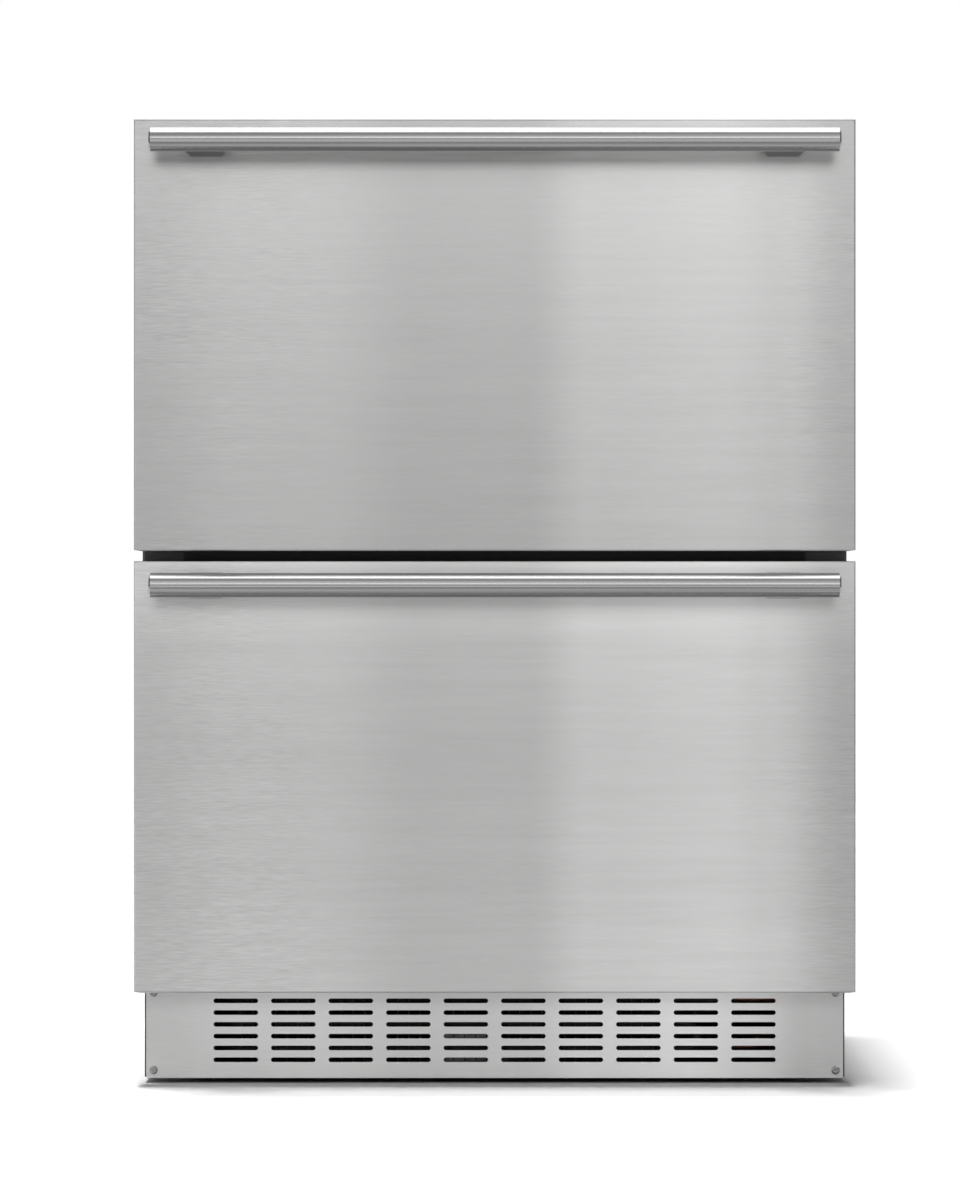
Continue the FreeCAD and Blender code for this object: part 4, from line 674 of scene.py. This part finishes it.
def add_piece(
    name: str,
    shape: Shape,
    material: bpy.types.Material,
    body: str,
    replaced: Sequence[str] = (),
) -> None:
    """Turn a finished bmesh into a piece of the object.

    Args:
        name: Name of the piece.
        shape: Its geometry, which is freed.
        material: Its finish.
        body: The body that it rides on.
        replaced: CAD nodes that it stands for.
    """
    for face in shape.faces:
        face.smooth = True
    mesh = new_mesh(name, shape, material)
    mesh.set_sharp_from_angle(angle=SHARP_ANGLE)
    piece = new_object(name, mesh)
    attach(piece, body)
    if replaced:
        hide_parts(*replaced)
    LOG.info("%s: %d faces", name, len(mesh.polygons))


def edges_of(verts: Iterable[bmesh.types.BMVert]) -> list[bmesh.types.BMEdge]:
    """Edges that meet some vertices, each of them once."""
    return list(dict.fromkeys(edge for vert in verts for edge in vert.link_edges))


def round_edges(
    shape: Shape, edges: Sequence[bmesh.types.BMEdge], radius: float, segments: int
) -> list[bmesh.types.BMVert]:
    """Round some edges of a bmesh.

    Args:
        shape: The bmesh.
        edges: The edges.
        radius: Radius of the rounding.
        segments: Steps in it.

    Returns:
        The vertices of the rounding.
    """
    made = bmesh.ops.bevel(
        shape, geom=edges, offset=radius, segments=segments, profile=0.5, affect="EDGES", material=-1
    )
    return made["verts"]


def add_block(shape: Shape, middle: Vector, size: Vector) -> list[bmesh.types.BMEdge]:
    """Add a block to a bmesh.

    Args:
        shape: The bmesh.
        middle: Centre of the block.
        size: Its lengths along X, Y and Z.

    Returns:
        The block's edges.
    """
    place = Matrix.Translation(middle) @ Matrix.Diagonal((*size, 1.0))
    return edges_of(bmesh.ops.create_cube(shape, size=1.0, matrix=place)["verts"])


@dataclass
class Gasket:
    """Magnetic seal of one drawer: a foot, a pleated bellows and a flat magnet pocket."""

    drawer: str
    foot_width: float = 18.0 * MM
    foot_height: float = 1.2 * MM
    foot_slope: float = 2.4 * MM
    pleat: float = 1.3 * MM
    neck_inset: float = 4.6 * MM
    neck_rise: float = 0.4 * MM
    neck_gap: float = 0.3 * MM
    pocket_inset: float = 3.4 * MM
    pocket_height: float = 2.3 * MM
    pocket_lip: float = 0.2 * MM
    pocket_edge: float = 0.6 * MM

    def section(self, depth: float) -> list[Span]:
        """Outline across the seal.

        Args:
            depth: Distance from the inner panel to the sealing face.

        Returns:
            Distances inwards from the outer edge and out from the inner panel.
        """
        pocket_low = depth - self.pocket_height
        neck_low = self.foot_slope + self.neck_rise
        crest = self.neck_inset - self.pleat
        half = [
            (0.0, 0.0),
            (0.0, self.foot_height),
            (crest, self.foot_slope),
            (self.neck_inset, neck_low),
            (crest, (neck_low + pocket_low) / 2),
            (self.neck_inset, pocket_low - self.neck_gap),
            (self.pocket_inset, pocket_low + self.pocket_lip),
            (self.pocket_inset, depth - self.pocket_edge),
            (self.pocket_inset + self.pocket_edge, depth),
        ]
        return half + [(self.foot_width - inward, out) for inward, out in reversed(half)]

    def build(self, wardrobe: Wardrobe) -> None:
        """Run the section round the drawer with mitred corners.

        Args:
            wardrobe: The materials.
        """
        node = f"{self.drawer}_gasket"
        low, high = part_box(node)
        outline = self.section(high.y - low.y)
        shape = bmesh.new()
        rings = []
        for x, z, side, end in (
            (low.x, low.z, 1, 1),
            (high.x, low.z, -1, 1),
            (high.x, high.z, -1, -1),
            (low.x, high.z, 1, -1),
        ):
            places = [(x + side * inward, low.y + out, z + end * inward) for inward, out in outline]
            verts = [shape.verts.new(place) for place in places]
            rings.append([shape.edges.new(pair) for pair in zip(verts, verts[1:] + verts[:1])])
        for ring, following in zip(rings, rings[1:] + rings[:1]):
            bmesh.ops.bridge_loops(shape, edges=ring + following)
        bmesh.ops.recalc_face_normals(shape, faces=shape.faces)
        material = wardrobe.by_slot["seal_rubber"]
        body = body_of(self.drawer)
        add_piece(f"{self.drawer}_bellows_seal", shape, material, body, [node])


@dataclass
class StorageBin:
    """Moulded bin of one drawer, with a shoulder on the side brackets and a stepped rim."""

    drawer: str
    low_half_width: float = 239.2 * MM
    wall: float = 2.5 * MM
    corner: float = 11.0 * MM
    corner_steps: int = 5
    rim_out: float = 2.5 * MM
    rim_height: float = 4.0 * MM
    well_rear: float | None = None
    ledge: float | None = None
    rib_width: float = 4.0 * MM
    rib_height: float = 1.4 * MM
    rib_edge: float = 0.56 * MM
    rib_steps: int = 2
    rib_count: int = 9
    rib_margin: float = 34.0 * MM

    def shoulder(self) -> float:
        """Height of the bracket shelves that the bin hangs on."""
        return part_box(f"{self.drawer}_side_brackets")[1].z

    def side_outline(self) -> list[Span]:
        """Outline below the shoulder, seen from the side.

        Returns:
            Its corners as Y and Z, from the bottom of the front.
        """
        low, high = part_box(f"{self.drawer}_bin")
        front = low.y + self.rim_out
        rear = high.y - self.rim_out
        shoulder = self.shoulder()
        if self.ledge is None:
            return [(front, low.z), (rear, low.z), (rear, shoulder), (front, shoulder)]
        return [
            (front, low.z),
            (self.well_rear, low.z),
            (self.well_rear, self.ledge),
            (rear, self.ledge),
            (rear, shoulder),
            (front, shoulder),
        ]

    def tub(self) -> Shape:
        """Closed block below the shoulder with rounded edges, opened at its top.

        Returns:
            An open sheet of the outer surface.
        """
        shape = bmesh.new()
        verts = [shape.verts.new((-self.low_half_width, y, z)) for y, z in self.side_outline()]
        face = shape.faces.new(verts)
        grown = bmesh.ops.extrude_face_region(shape, geom=[face])["geom"]
        moved = [item for item in grown if isinstance(item, bmesh.types.BMVert)]
        bmesh.ops.translate(shape, verts=moved, vec=(2 * self.low_half_width, 0, 0))
        bmesh.ops.recalc_face_normals(shape, faces=shape.faces)
        below = self.shoulder() - SLACK
        lower = [edge for edge in shape.edges if any(vert.co.z < below for vert in edge.verts)]
        round_edges(shape, lower, self.corner, self.corner_steps)
        lid = [face for face in shape.faces if all(vert.co.z > below for vert in face.verts)]
        bmesh.ops.delete(shape, geom=lid, context="FACES")
        return shape

    def raise_edge(self, shape: Shape, out: Span, up: float) -> None:
        """Extrude the open edge outwards and up.

        Args:
            shape: The open sheet.
            out: Distance outwards along X and along Y.
            up: Distance upwards.
        """
        outline = self.side_outline()
        middle_y = sum(y for y, _ in outline) / len(outline)
        rim = [edge for edge in shape.edges if edge.is_boundary]
        grown = bmesh.ops.extrude_edge_only(shape, edges=rim)["geom"]
        for vert in (item for item in grown if isinstance(item, bmesh.types.BMVert)):
            vert.co.x += math.copysign(out[0], vert.co.x)
            vert.co.y += math.copysign(out[1], vert.co.y - middle_y)
            vert.co.z += up

    def add_ribs(self, shape: Shape, low: Vector) -> None:
        """Add low ribs along the bin's floor.

        Args:
            shape: The bin.
            low: Lowest corner of the bin.
        """
        outline = self.side_outline()
        front = outline[0][0] + self.rib_margin
        rear = outline[1][0] - self.rib_margin
        reach = self.low_half_width - self.rib_margin
        floor = low.z + self.wall
        size = Vector((self.rib_width, rear - front, self.rib_height))
        for x in evenly(-reach, reach, self.rib_count):
            edges = add_block(shape, Vector((x, (front + rear) / 2, floor + self.rib_height / 2)), size)
            round_edges(shape, edges, self.rib_edge, self.rib_steps)

    def build(self, wardrobe: Wardrobe) -> None:
        """Make the bin and its floor ribs.

        Args:
            wardrobe: The materials.
        """
        node = f"{self.drawer}_bin"
        low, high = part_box(node)
        top_half_width = high.x - self.rim_out
        shape = self.tub()
        self.raise_edge(shape, (top_half_width - self.low_half_width, 0.0), 0.0)
        self.raise_edge(shape, (0.0, 0.0), high.z - self.rim_height - self.shoulder())
        self.raise_edge(shape, (self.rim_out, self.rim_out), 0.0)
        self.raise_edge(shape, (0.0, 0.0), self.rim_height)
        bmesh.ops.recalc_face_normals(shape, faces=shape.faces)
        bmesh.ops.solidify(shape, geom=shape.faces, thickness=self.wall)
        self.add_ribs(shape, low)
        material = wardrobe.by_slot["bin_plastic"]
        body = body_of(self.drawer)
        add_piece(f"{self.drawer}_storage_bin", shape, material, body, [node])


@dataclass
class ControlFace:
    """Display and touch marks on the sloping face of the control panel."""

    slope_depth: float = 14.0 * MM
    slope_height: float = 12.0 * MM
    lip_height: float = 6.0 * MM
    window: Point = (58.0 * MM, 11.0 * MM, 0.5 * MM)
    window_edge: float = 0.2 * MM
    window_steps: int = 2
    digit: Span = (4.4 * MM, 7.6 * MM)
    stroke: float = 0.9 * MM
    stroke_gap: float = 0.36 * MM
    digit_pitch: float = 7.4 * MM
    mark_spacing: float = 46.0 * MM
    mark_size: float = 5.0 * MM
    film: float = 0.25 * MM
    film_edge: float = 0.075 * MM

    SEGMENTS = {"-": "g", "1": "bc", "8": "abcdefg"}
    READING = "-18"

    def frame_matrix(self) -> Matrix:
        """Place of the sloping face, with its width as X, up the slope as Y and outwards as Z.

        Returns:
            The matrix from the face to the object.
        """
        low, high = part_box("control_panel")
        length = math.hypot(self.slope_depth, self.slope_height)
        up = Vector((0, -self.slope_depth, self.slope_height)) / length
        across = Vector((1, 0, 0))
        out = across.cross(up)
        middle = Vector((0, low.y + self.slope_depth / 2, high.z - self.lip_height - self.slope_height / 2))
        return Matrix.Translation(middle) @ Matrix((across, up, out)).transposed().to_4x4()

    def segment_box(self, name: str) -> tuple[Span, Span]:
        """Middle and size of one segment of a figure.

        Args:
            name: Letter of the segment, from a at the top clockwise to f, with g in the middle.

        Returns:
            The middle and the size, across and up.
        """
        width, height = self.digit
        flat = (width - self.stroke, self.stroke)
        tall = (self.stroke, height / 2 - self.stroke_gap)
        places = {
            "a": ((0.0, height / 2), flat),
            "g": ((0.0, 0.0), flat),
            "d": ((0.0, -height / 2), flat),
            "b": ((width / 2, height / 4), tall),
            "c": ((width / 2, -height / 4), tall),
            "e": ((-width / 2, -height / 4), tall),
            "f": ((-width / 2, height / 4), tall),
        }
        return places[name]

    def add_bar(self, shape: Shape, middle: Span, size: Span, lift: float) -> None:
        """Add one raised bar of the display.

        Args:
            shape: The bmesh, in the face's own frame.
            middle: Its middle, across and up.
            size: Its size, across and up.
            lift: Height of its underside over the face.
        """
        edges = add_block(shape, Vector((*middle, lift + self.film / 2)), Vector((*size, self.film)))
        round_edges(shape, edges, self.film_edge, segments=1)

    def build(self, wardrobe: Wardrobe) -> None:
        """Make the window, the lit figures and the touch marks.

        Args:
            wardrobe: The materials.
        """
        place = self.frame_matrix()
        window = bmesh.new()
        size = Vector(self.window)
        edges = add_block(window, Vector((0, 0, size.z / 2)), size)
        round_edges(window, edges, self.window_edge, self.window_steps)
        window.transform(place)
        add_piece("display_window", window, wardrobe.by_slot["panel_plastic"], CABINET)
        figures = bmesh.new()
        for k, figure in enumerate(self.READING):
            offset = (k - (len(self.READING) - 1) / 2) * self.digit_pitch
            for name in self.SEGMENTS[figure]:
                (across, up), bar = self.segment_box(name)
                self.add_bar(figures, (across + offset, up), bar, size.z)
        figures.transform(place)
        add_piece("display_figures", figures, wardrobe.figures, CABINET)
        marks = bmesh.new()
        flat = (self.mark_size, self.stroke)
        self.add_bar(marks, (self.mark_spacing, 0.0), flat, 0.0)
        self.add_bar(marks, (-self.mark_spacing, 0.0), flat, 0.0)
        self.add_bar(marks, (self.mark_spacing, 0.0), (self.stroke, self.mark_size), 0.0)
        marks.transform(place)
        add_piece("touch_marks", marks, wardrobe.by_slot["lens_plastic"], CABINET)


@dataclass
class SlideFastenings:
    """Rivets that hold the inner rails to a drawer's brackets."""

    drawer: str
    web: float = 1.5 * MM
    head_radius: float = 3.6 * MM
    head_height: float = 1.3 * MM
    head_dome: float = 0.78 * MM
    head_sides: int = 20
    dome_steps: int = 3
    count: int = 5
    end_margin: float = 24.0 * MM

    def web_face(self, node: str) -> float:
        """Distance from the middle plane to the open faces of the rails' webs."""
        nearest = min(abs(vert.co.x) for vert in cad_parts[node].data.vertices)
        return nearest + self.web

    def add_head(self, shape: Shape, seat: Vector, outward: Vector) -> None:
        """Add one low domed head.

        Args:
            shape: The bmesh.
            seat: Middle of the face that it sits on.
            outward: Direction that it faces.
        """
        turn = outward.to_track_quat("Z", "Y").to_matrix().to_4x4()
        made = bmesh.ops.create_cone(
            shape,
            cap_ends=True,
            segments=self.head_sides,
            radius1=self.head_radius,
            radius2=self.head_radius,
            depth=self.head_height,
            matrix=Matrix.Translation(seat + outward * self.head_height / 2) @ turn,
        )
        top = [
            edge
            for edge in edges_of(made["verts"])
            if all((vert.co - seat).dot(outward) > self.head_height / 2 for vert in edge.verts)
        ]
        round_edges(shape, top, self.head_dome, self.dome_steps)

    def build(self, wardrobe: Wardrobe) -> None:
        """Make the rivet heads inside both inner rails.

        Args:
            wardrobe: The materials.
        """
        node = f"{self.drawer}_inner_rails"
        low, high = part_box(node)
        middle_z = (low.z + high.z) / 2
        web_x = self.web_face(node)
        shape = bmesh.new()
        for side in (-1, 1):
            for y in evenly(low.y + self.end_margin, high.y - self.end_margin, self.count):
                self.add_head(shape, Vector((side * web_x, y, middle_z)), Vector((side, 0, 0)))
        bmesh.ops.recalc_face_normals(shape, faces=shape.faces)
        material = wardrobe.by_slot["screw_steel"]
        add_piece(f"{self.drawer}_rail_rivets", shape, material, body_of(self.drawer))


@dataclass
class RearBeads:
    """Stiffening beads pressed into the rear panel."""

    count: int = 4
    half_length: float = 205.0 * MM
    height: float = 18.0 * MM
    depth: float = 2.9 * MM
    flank: float = 1.4 * MM
    crown_edge: float = 1.0 * MM
    crown_steps: int = 4
    end_radius: float = 8.64 * MM
    end_steps: int = 6
    sunk: float = 0.3 * MM
    edge_margin: float = 90.0 * MM

    def add_bead(self, shape: Shape, seat: Vector) -> None:
        """Add one bead with round ends and sloping flanks.

        Args:
            shape: The bmesh.
            seat: Middle of the bead on the face of the panel.
        """
        size = Vector((2 * self.half_length, self.sunk, self.height))
        edges = add_block(shape, seat - Vector((0, self.sunk / 2, 0)), size)
        corners = [edge for edge in edges if abs(edge.verts[0].co.y - edge.verts[1].co.y) > self.sunk / 2]
        ends = round_edges(shape, corners, self.end_radius, self.end_steps)
        faces = {face for vert in ends for face in vert.link_faces}
        crown = max(faces, key=lambda face: face.calc_center_median().y)
        bmesh.ops.inset_individual(shape, faces=[crown], thickness=self.flank, depth=self.depth)
        round_edges(shape, list(crown.edges), self.crown_edge, self.crown_steps)

    def build(self, wardrobe: Wardrobe) -> None:
        """Make the beads on the outside of the rear panel.

        Args:
            wardrobe: The materials.
        """
        low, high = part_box("back_panel")
        shape = bmesh.new()
        for z in evenly(low.z + self.edge_margin, high.z - self.edge_margin, self.count):
            self.add_bead(shape, Vector((0, high.y, z)))
        bmesh.ops.recalc_face_normals(shape, faces=shape.faces)
        add_piece("rear_panel_beads", shape, wardrobe.by_slot["galvanised"], CABINET)


@dataclass(frozen=True)
class Card:
    """Flat card that only reflections see."""

    name: str
    x: Span
    y: Span
    z: Span
    level: float

    def corners(self) -> list[Point]:
        """Corners of the card, which is flat along one axis.

        Returns:
            The four corners in order.
        """
        (x0, x1), (y0, y1), (z0, z1) = self.x, self.y, self.z
        if y0 == y1:
            return [(x0, y0, z0), (x1, y0, z0), (x1, y0, z1), (x0, y0, z1)]
        if z0 == z1:
            return [(x0, y0, z0), (x1, y0, z0), (x1, y1, z0), (x0, y1, z0)]
        return [(x0, y0, z0), (x0, y1, z0), (x0, y1, z1), (x0, y0, z1)]


# Cards of a room about the camera: its walls, ceiling and floor in metres, then each card's brightness
ROOM_WIDTH = (-6.0, 6.0)
FRONT_WALL = -9.5
CEILING = 3.6
FLOOR = (4 * MM, 4 * MM)
LEFT_SIDE = (-3.0, -3.0)
RIGHT_SIDE = (3.0, 3.0)
SIDE_HEIGHT = (0.0, 3.0)
CARDS = (
    Card("front_wall", ROOM_WIDTH, (FRONT_WALL, FRONT_WALL), (0.0, CEILING), 0.64),
    Card("far_ceiling", ROOM_WIDTH, (FRONT_WALL, -4.2), (CEILING, CEILING), 1.05),
    Card("dark_ceiling", ROOM_WIDTH, (-4.2, -1.6), (CEILING, CEILING), 0.62),
    Card("overhead_strip", ROOM_WIDTH, (-1.6, 2.5), (CEILING, CEILING), 3.2),
    Card("far_floor", (-3.0, 3.0), (FRONT_WALL, -1.6), FLOOR, 1.1),
    Card("dark_floor", (-2.0, 2.0), (-1.6, -0.85), FLOOR, 0.55),
    Card("pale_floor", (-1.2, 1.2), (-0.85, -0.45), FLOOR, 0.85),
    Card("near_floor", (-0.6, 0.6), (-0.45, -0.3), FLOOR, 0.4),
    Card("left_window", LEFT_SIDE, (-6.0, -1.8), SIDE_HEIGHT, 1.8),
    Card("left_flag", LEFT_SIDE, (-1.8, 1.5), SIDE_HEIGHT, 0.25),
    Card("right_flag", RIGHT_SIDE, (-3.0, 1.5), SIDE_HEIGHT, 0.25),
)


@dataclass
class Studio:
    """Camera, floor, lamps and reflection cards."""

    camera_place: Point = (-0.0122, -5.064, 0.403)
    lens: float = 174.4
    sensor: float = 36.0
    floor_half: float = 60.0
    floor_white: Colour = (0.96, 0.96, 0.96)
    floor_mottle: Point = (2.0, 2.0, 2.0)
    floor_swing: float = 0.005
    floor_roughness: float = 0.9
    sky_fill: float = 0.15
    overhead: float = 0.74
    overhead_angle: float = 4.2
    overhead_leans: Sequence[float] = (-3.4, -1.0, 3.0, 9.0)
    overhead_sides: Sequence[float] = (-3.6, -3.2, -0.5, -0.5)
    aim: Point = (0.0, 0.0, 0.45)
    fill_power: float = 11.0
    fill_place: Point = (-0.9, -1.6, 2.7)
    fill_size: Span = (1.8, 1.4)
    strip_power: float = 32.0
    strip_place: Point = (-0.0122, -8.3, 2.4)
    strip_size: Span = (3.6, 1.7)

    def build(self) -> None:
        """Set up everything that isn't part of the object."""
        self.add_camera()
        self.add_world()
        self.add_floor()
        self.add_lamps()
        for card in CARDS:
            self.add_card(card)
        bpy.context.scene.view_settings.view_transform = "Standard"

    def add_camera(self) -> None:
        """Camera square to the fronts, at half the height of the object."""
        data = bpy.data.cameras.new("camera")
        data.sensor_width = self.sensor
        data.lens = self.lens
        camera = new_object("camera", data)
        camera.location = self.camera_place
        camera.rotation_euler = (math.radians(90), 0, 0)
        bpy.context.scene.camera = camera

    def add_world(self) -> None:
        """White surroundings in the picture, in reflections and through clear plastic, else a soft fill."""
        world = bpy.data.worlds.new("studio_white")
        bpy.context.scene.world = world
        world.use_nodes = True
        nodes = world.node_tree.nodes
        links = world.node_tree.links
        path = nodes.new("ShaderNodeLightPath")
        seen = path.outputs["Is Camera Ray"]
        for ray in ("Is Glossy Ray", "Is Transmission Ray"):
            either = nodes.new("ShaderNodeMath")
            either.operation = "MAXIMUM"
            links.new(seen, either.inputs[0])
            links.new(path.outputs[ray], either.inputs[1])
            seen = either.outputs["Value"]
        strength = nodes.new("ShaderNodeMapRange")
        links.new(seen, strength.inputs["Value"])
        strength.inputs["To Min"].default_value = self.sky_fill
        strength.inputs["To Max"].default_value = 1.0
        background = nodes["Background"]
        background.inputs["Color"].default_value = shaded(WHITE, 1.0)
        links.new(strength.outputs["Result"], background.inputs["Strength"])

    def add_floor(self) -> None:
        """Plain white floor."""
        graph = NodeGraph("floor_white")
        mottle = graph.noise(self.floor_mottle)
        graph.feed(graph.shades(mottle, self.floor_white, self.floor_swing), "Base Color")
        graph.set(Roughness=self.floor_roughness, Specular_IOR_Level=0.0)
        shape = bmesh.new()
        bmesh.ops.create_grid(shape, x_segments=1, y_segments=1, size=self.floor_half)
        new_object("floor", new_mesh("floor", shape, graph.material))

    def add_lamps(self) -> None:
        """Row of overhead lights, a soft fill from the front left and a strip far in front."""
        for lean, side in zip(self.overhead_leans, self.overhead_sides):
            sun = bpy.data.lights.new("overhead", "SUN")
            sun.energy = self.overhead
            sun.angle = math.radians(self.overhead_angle)
            lamp = new_object("overhead", sun)
            lamp.rotation_euler = (math.radians(lean), math.radians(side), 0.0)
            lamp.visible_glossy = False
        fill = self.add_softbox("fill", self.fill_place, self.fill_size, self.fill_power)
        fill.visible_glossy = False
        self.add_softbox("front_strip", self.strip_place, self.strip_size, self.strip_power)

    def add_softbox(self, name: str, place: Point, size: Span, power: float) -> bpy.types.Object:
        """Flat lamp aimed at the middle of the object.

        Args:
            name: Name of the lamp.
            place: Where it stands.
            size: Its width and height.
            power: Its power in watts.

        Returns:
            The lamp.
        """
        area = bpy.data.lights.new(name, "AREA")
        area.shape = "RECTANGLE"
        area.size, area.size_y = size
        area.energy = power
        lamp = new_object(name, area)
        lamp.location = place
        towards = Vector(self.aim) - Vector(place)
        lamp.rotation_euler = towards.to_track_quat("-Z", "Y").to_euler()
        return lamp

    def add_card(self, card: Card) -> None:
        """Hang one reflection card.

        Args:
            card: Its place and brightness.
        """
        material = bpy.data.materials.new(card.name)
        material.use_nodes = True
        nodes = material.node_tree.nodes
        nodes.remove(nodes["Principled BSDF"])
        glow = nodes.new("ShaderNodeEmission")
        glow.inputs["Strength"].default_value = card.level
        material.node_tree.links.new(glow.outputs["Emission"], nodes["Material Output"].inputs["Surface"])
        shape = bmesh.new()
        shape.faces.new([shape.verts.new(corner) for corner in card.corners()])
        plane = new_object(card.name, new_mesh(card.name, shape, material))
        plane.visible_camera = False
        plane.visible_diffuse = False
        plane.visible_transmission = False
        plane.visible_shadow = False


def main() -> None:
    """Build the studio and dress the freezer."""
    logging.basicConfig(level=logging.INFO, format="%(name)s: %(message)s")
    Studio().build()
    wardrobe = Wardrobe()
    wardrobe.dress_nodes()
    for drawer in DRAWERS:
        Gasket(drawer).build(wardrobe)
        SlideFastenings(drawer).build(wardrobe)
    StorageBin("upper").build(wardrobe)
    StorageBin("lower", well_rear=71.0 * MM, ledge=274.0 * MM).build(wardrobe)
    ControlFace().build(wardrobe)
    RearBeads().build(wardrobe)


if __name__ == "__main__":
    main()
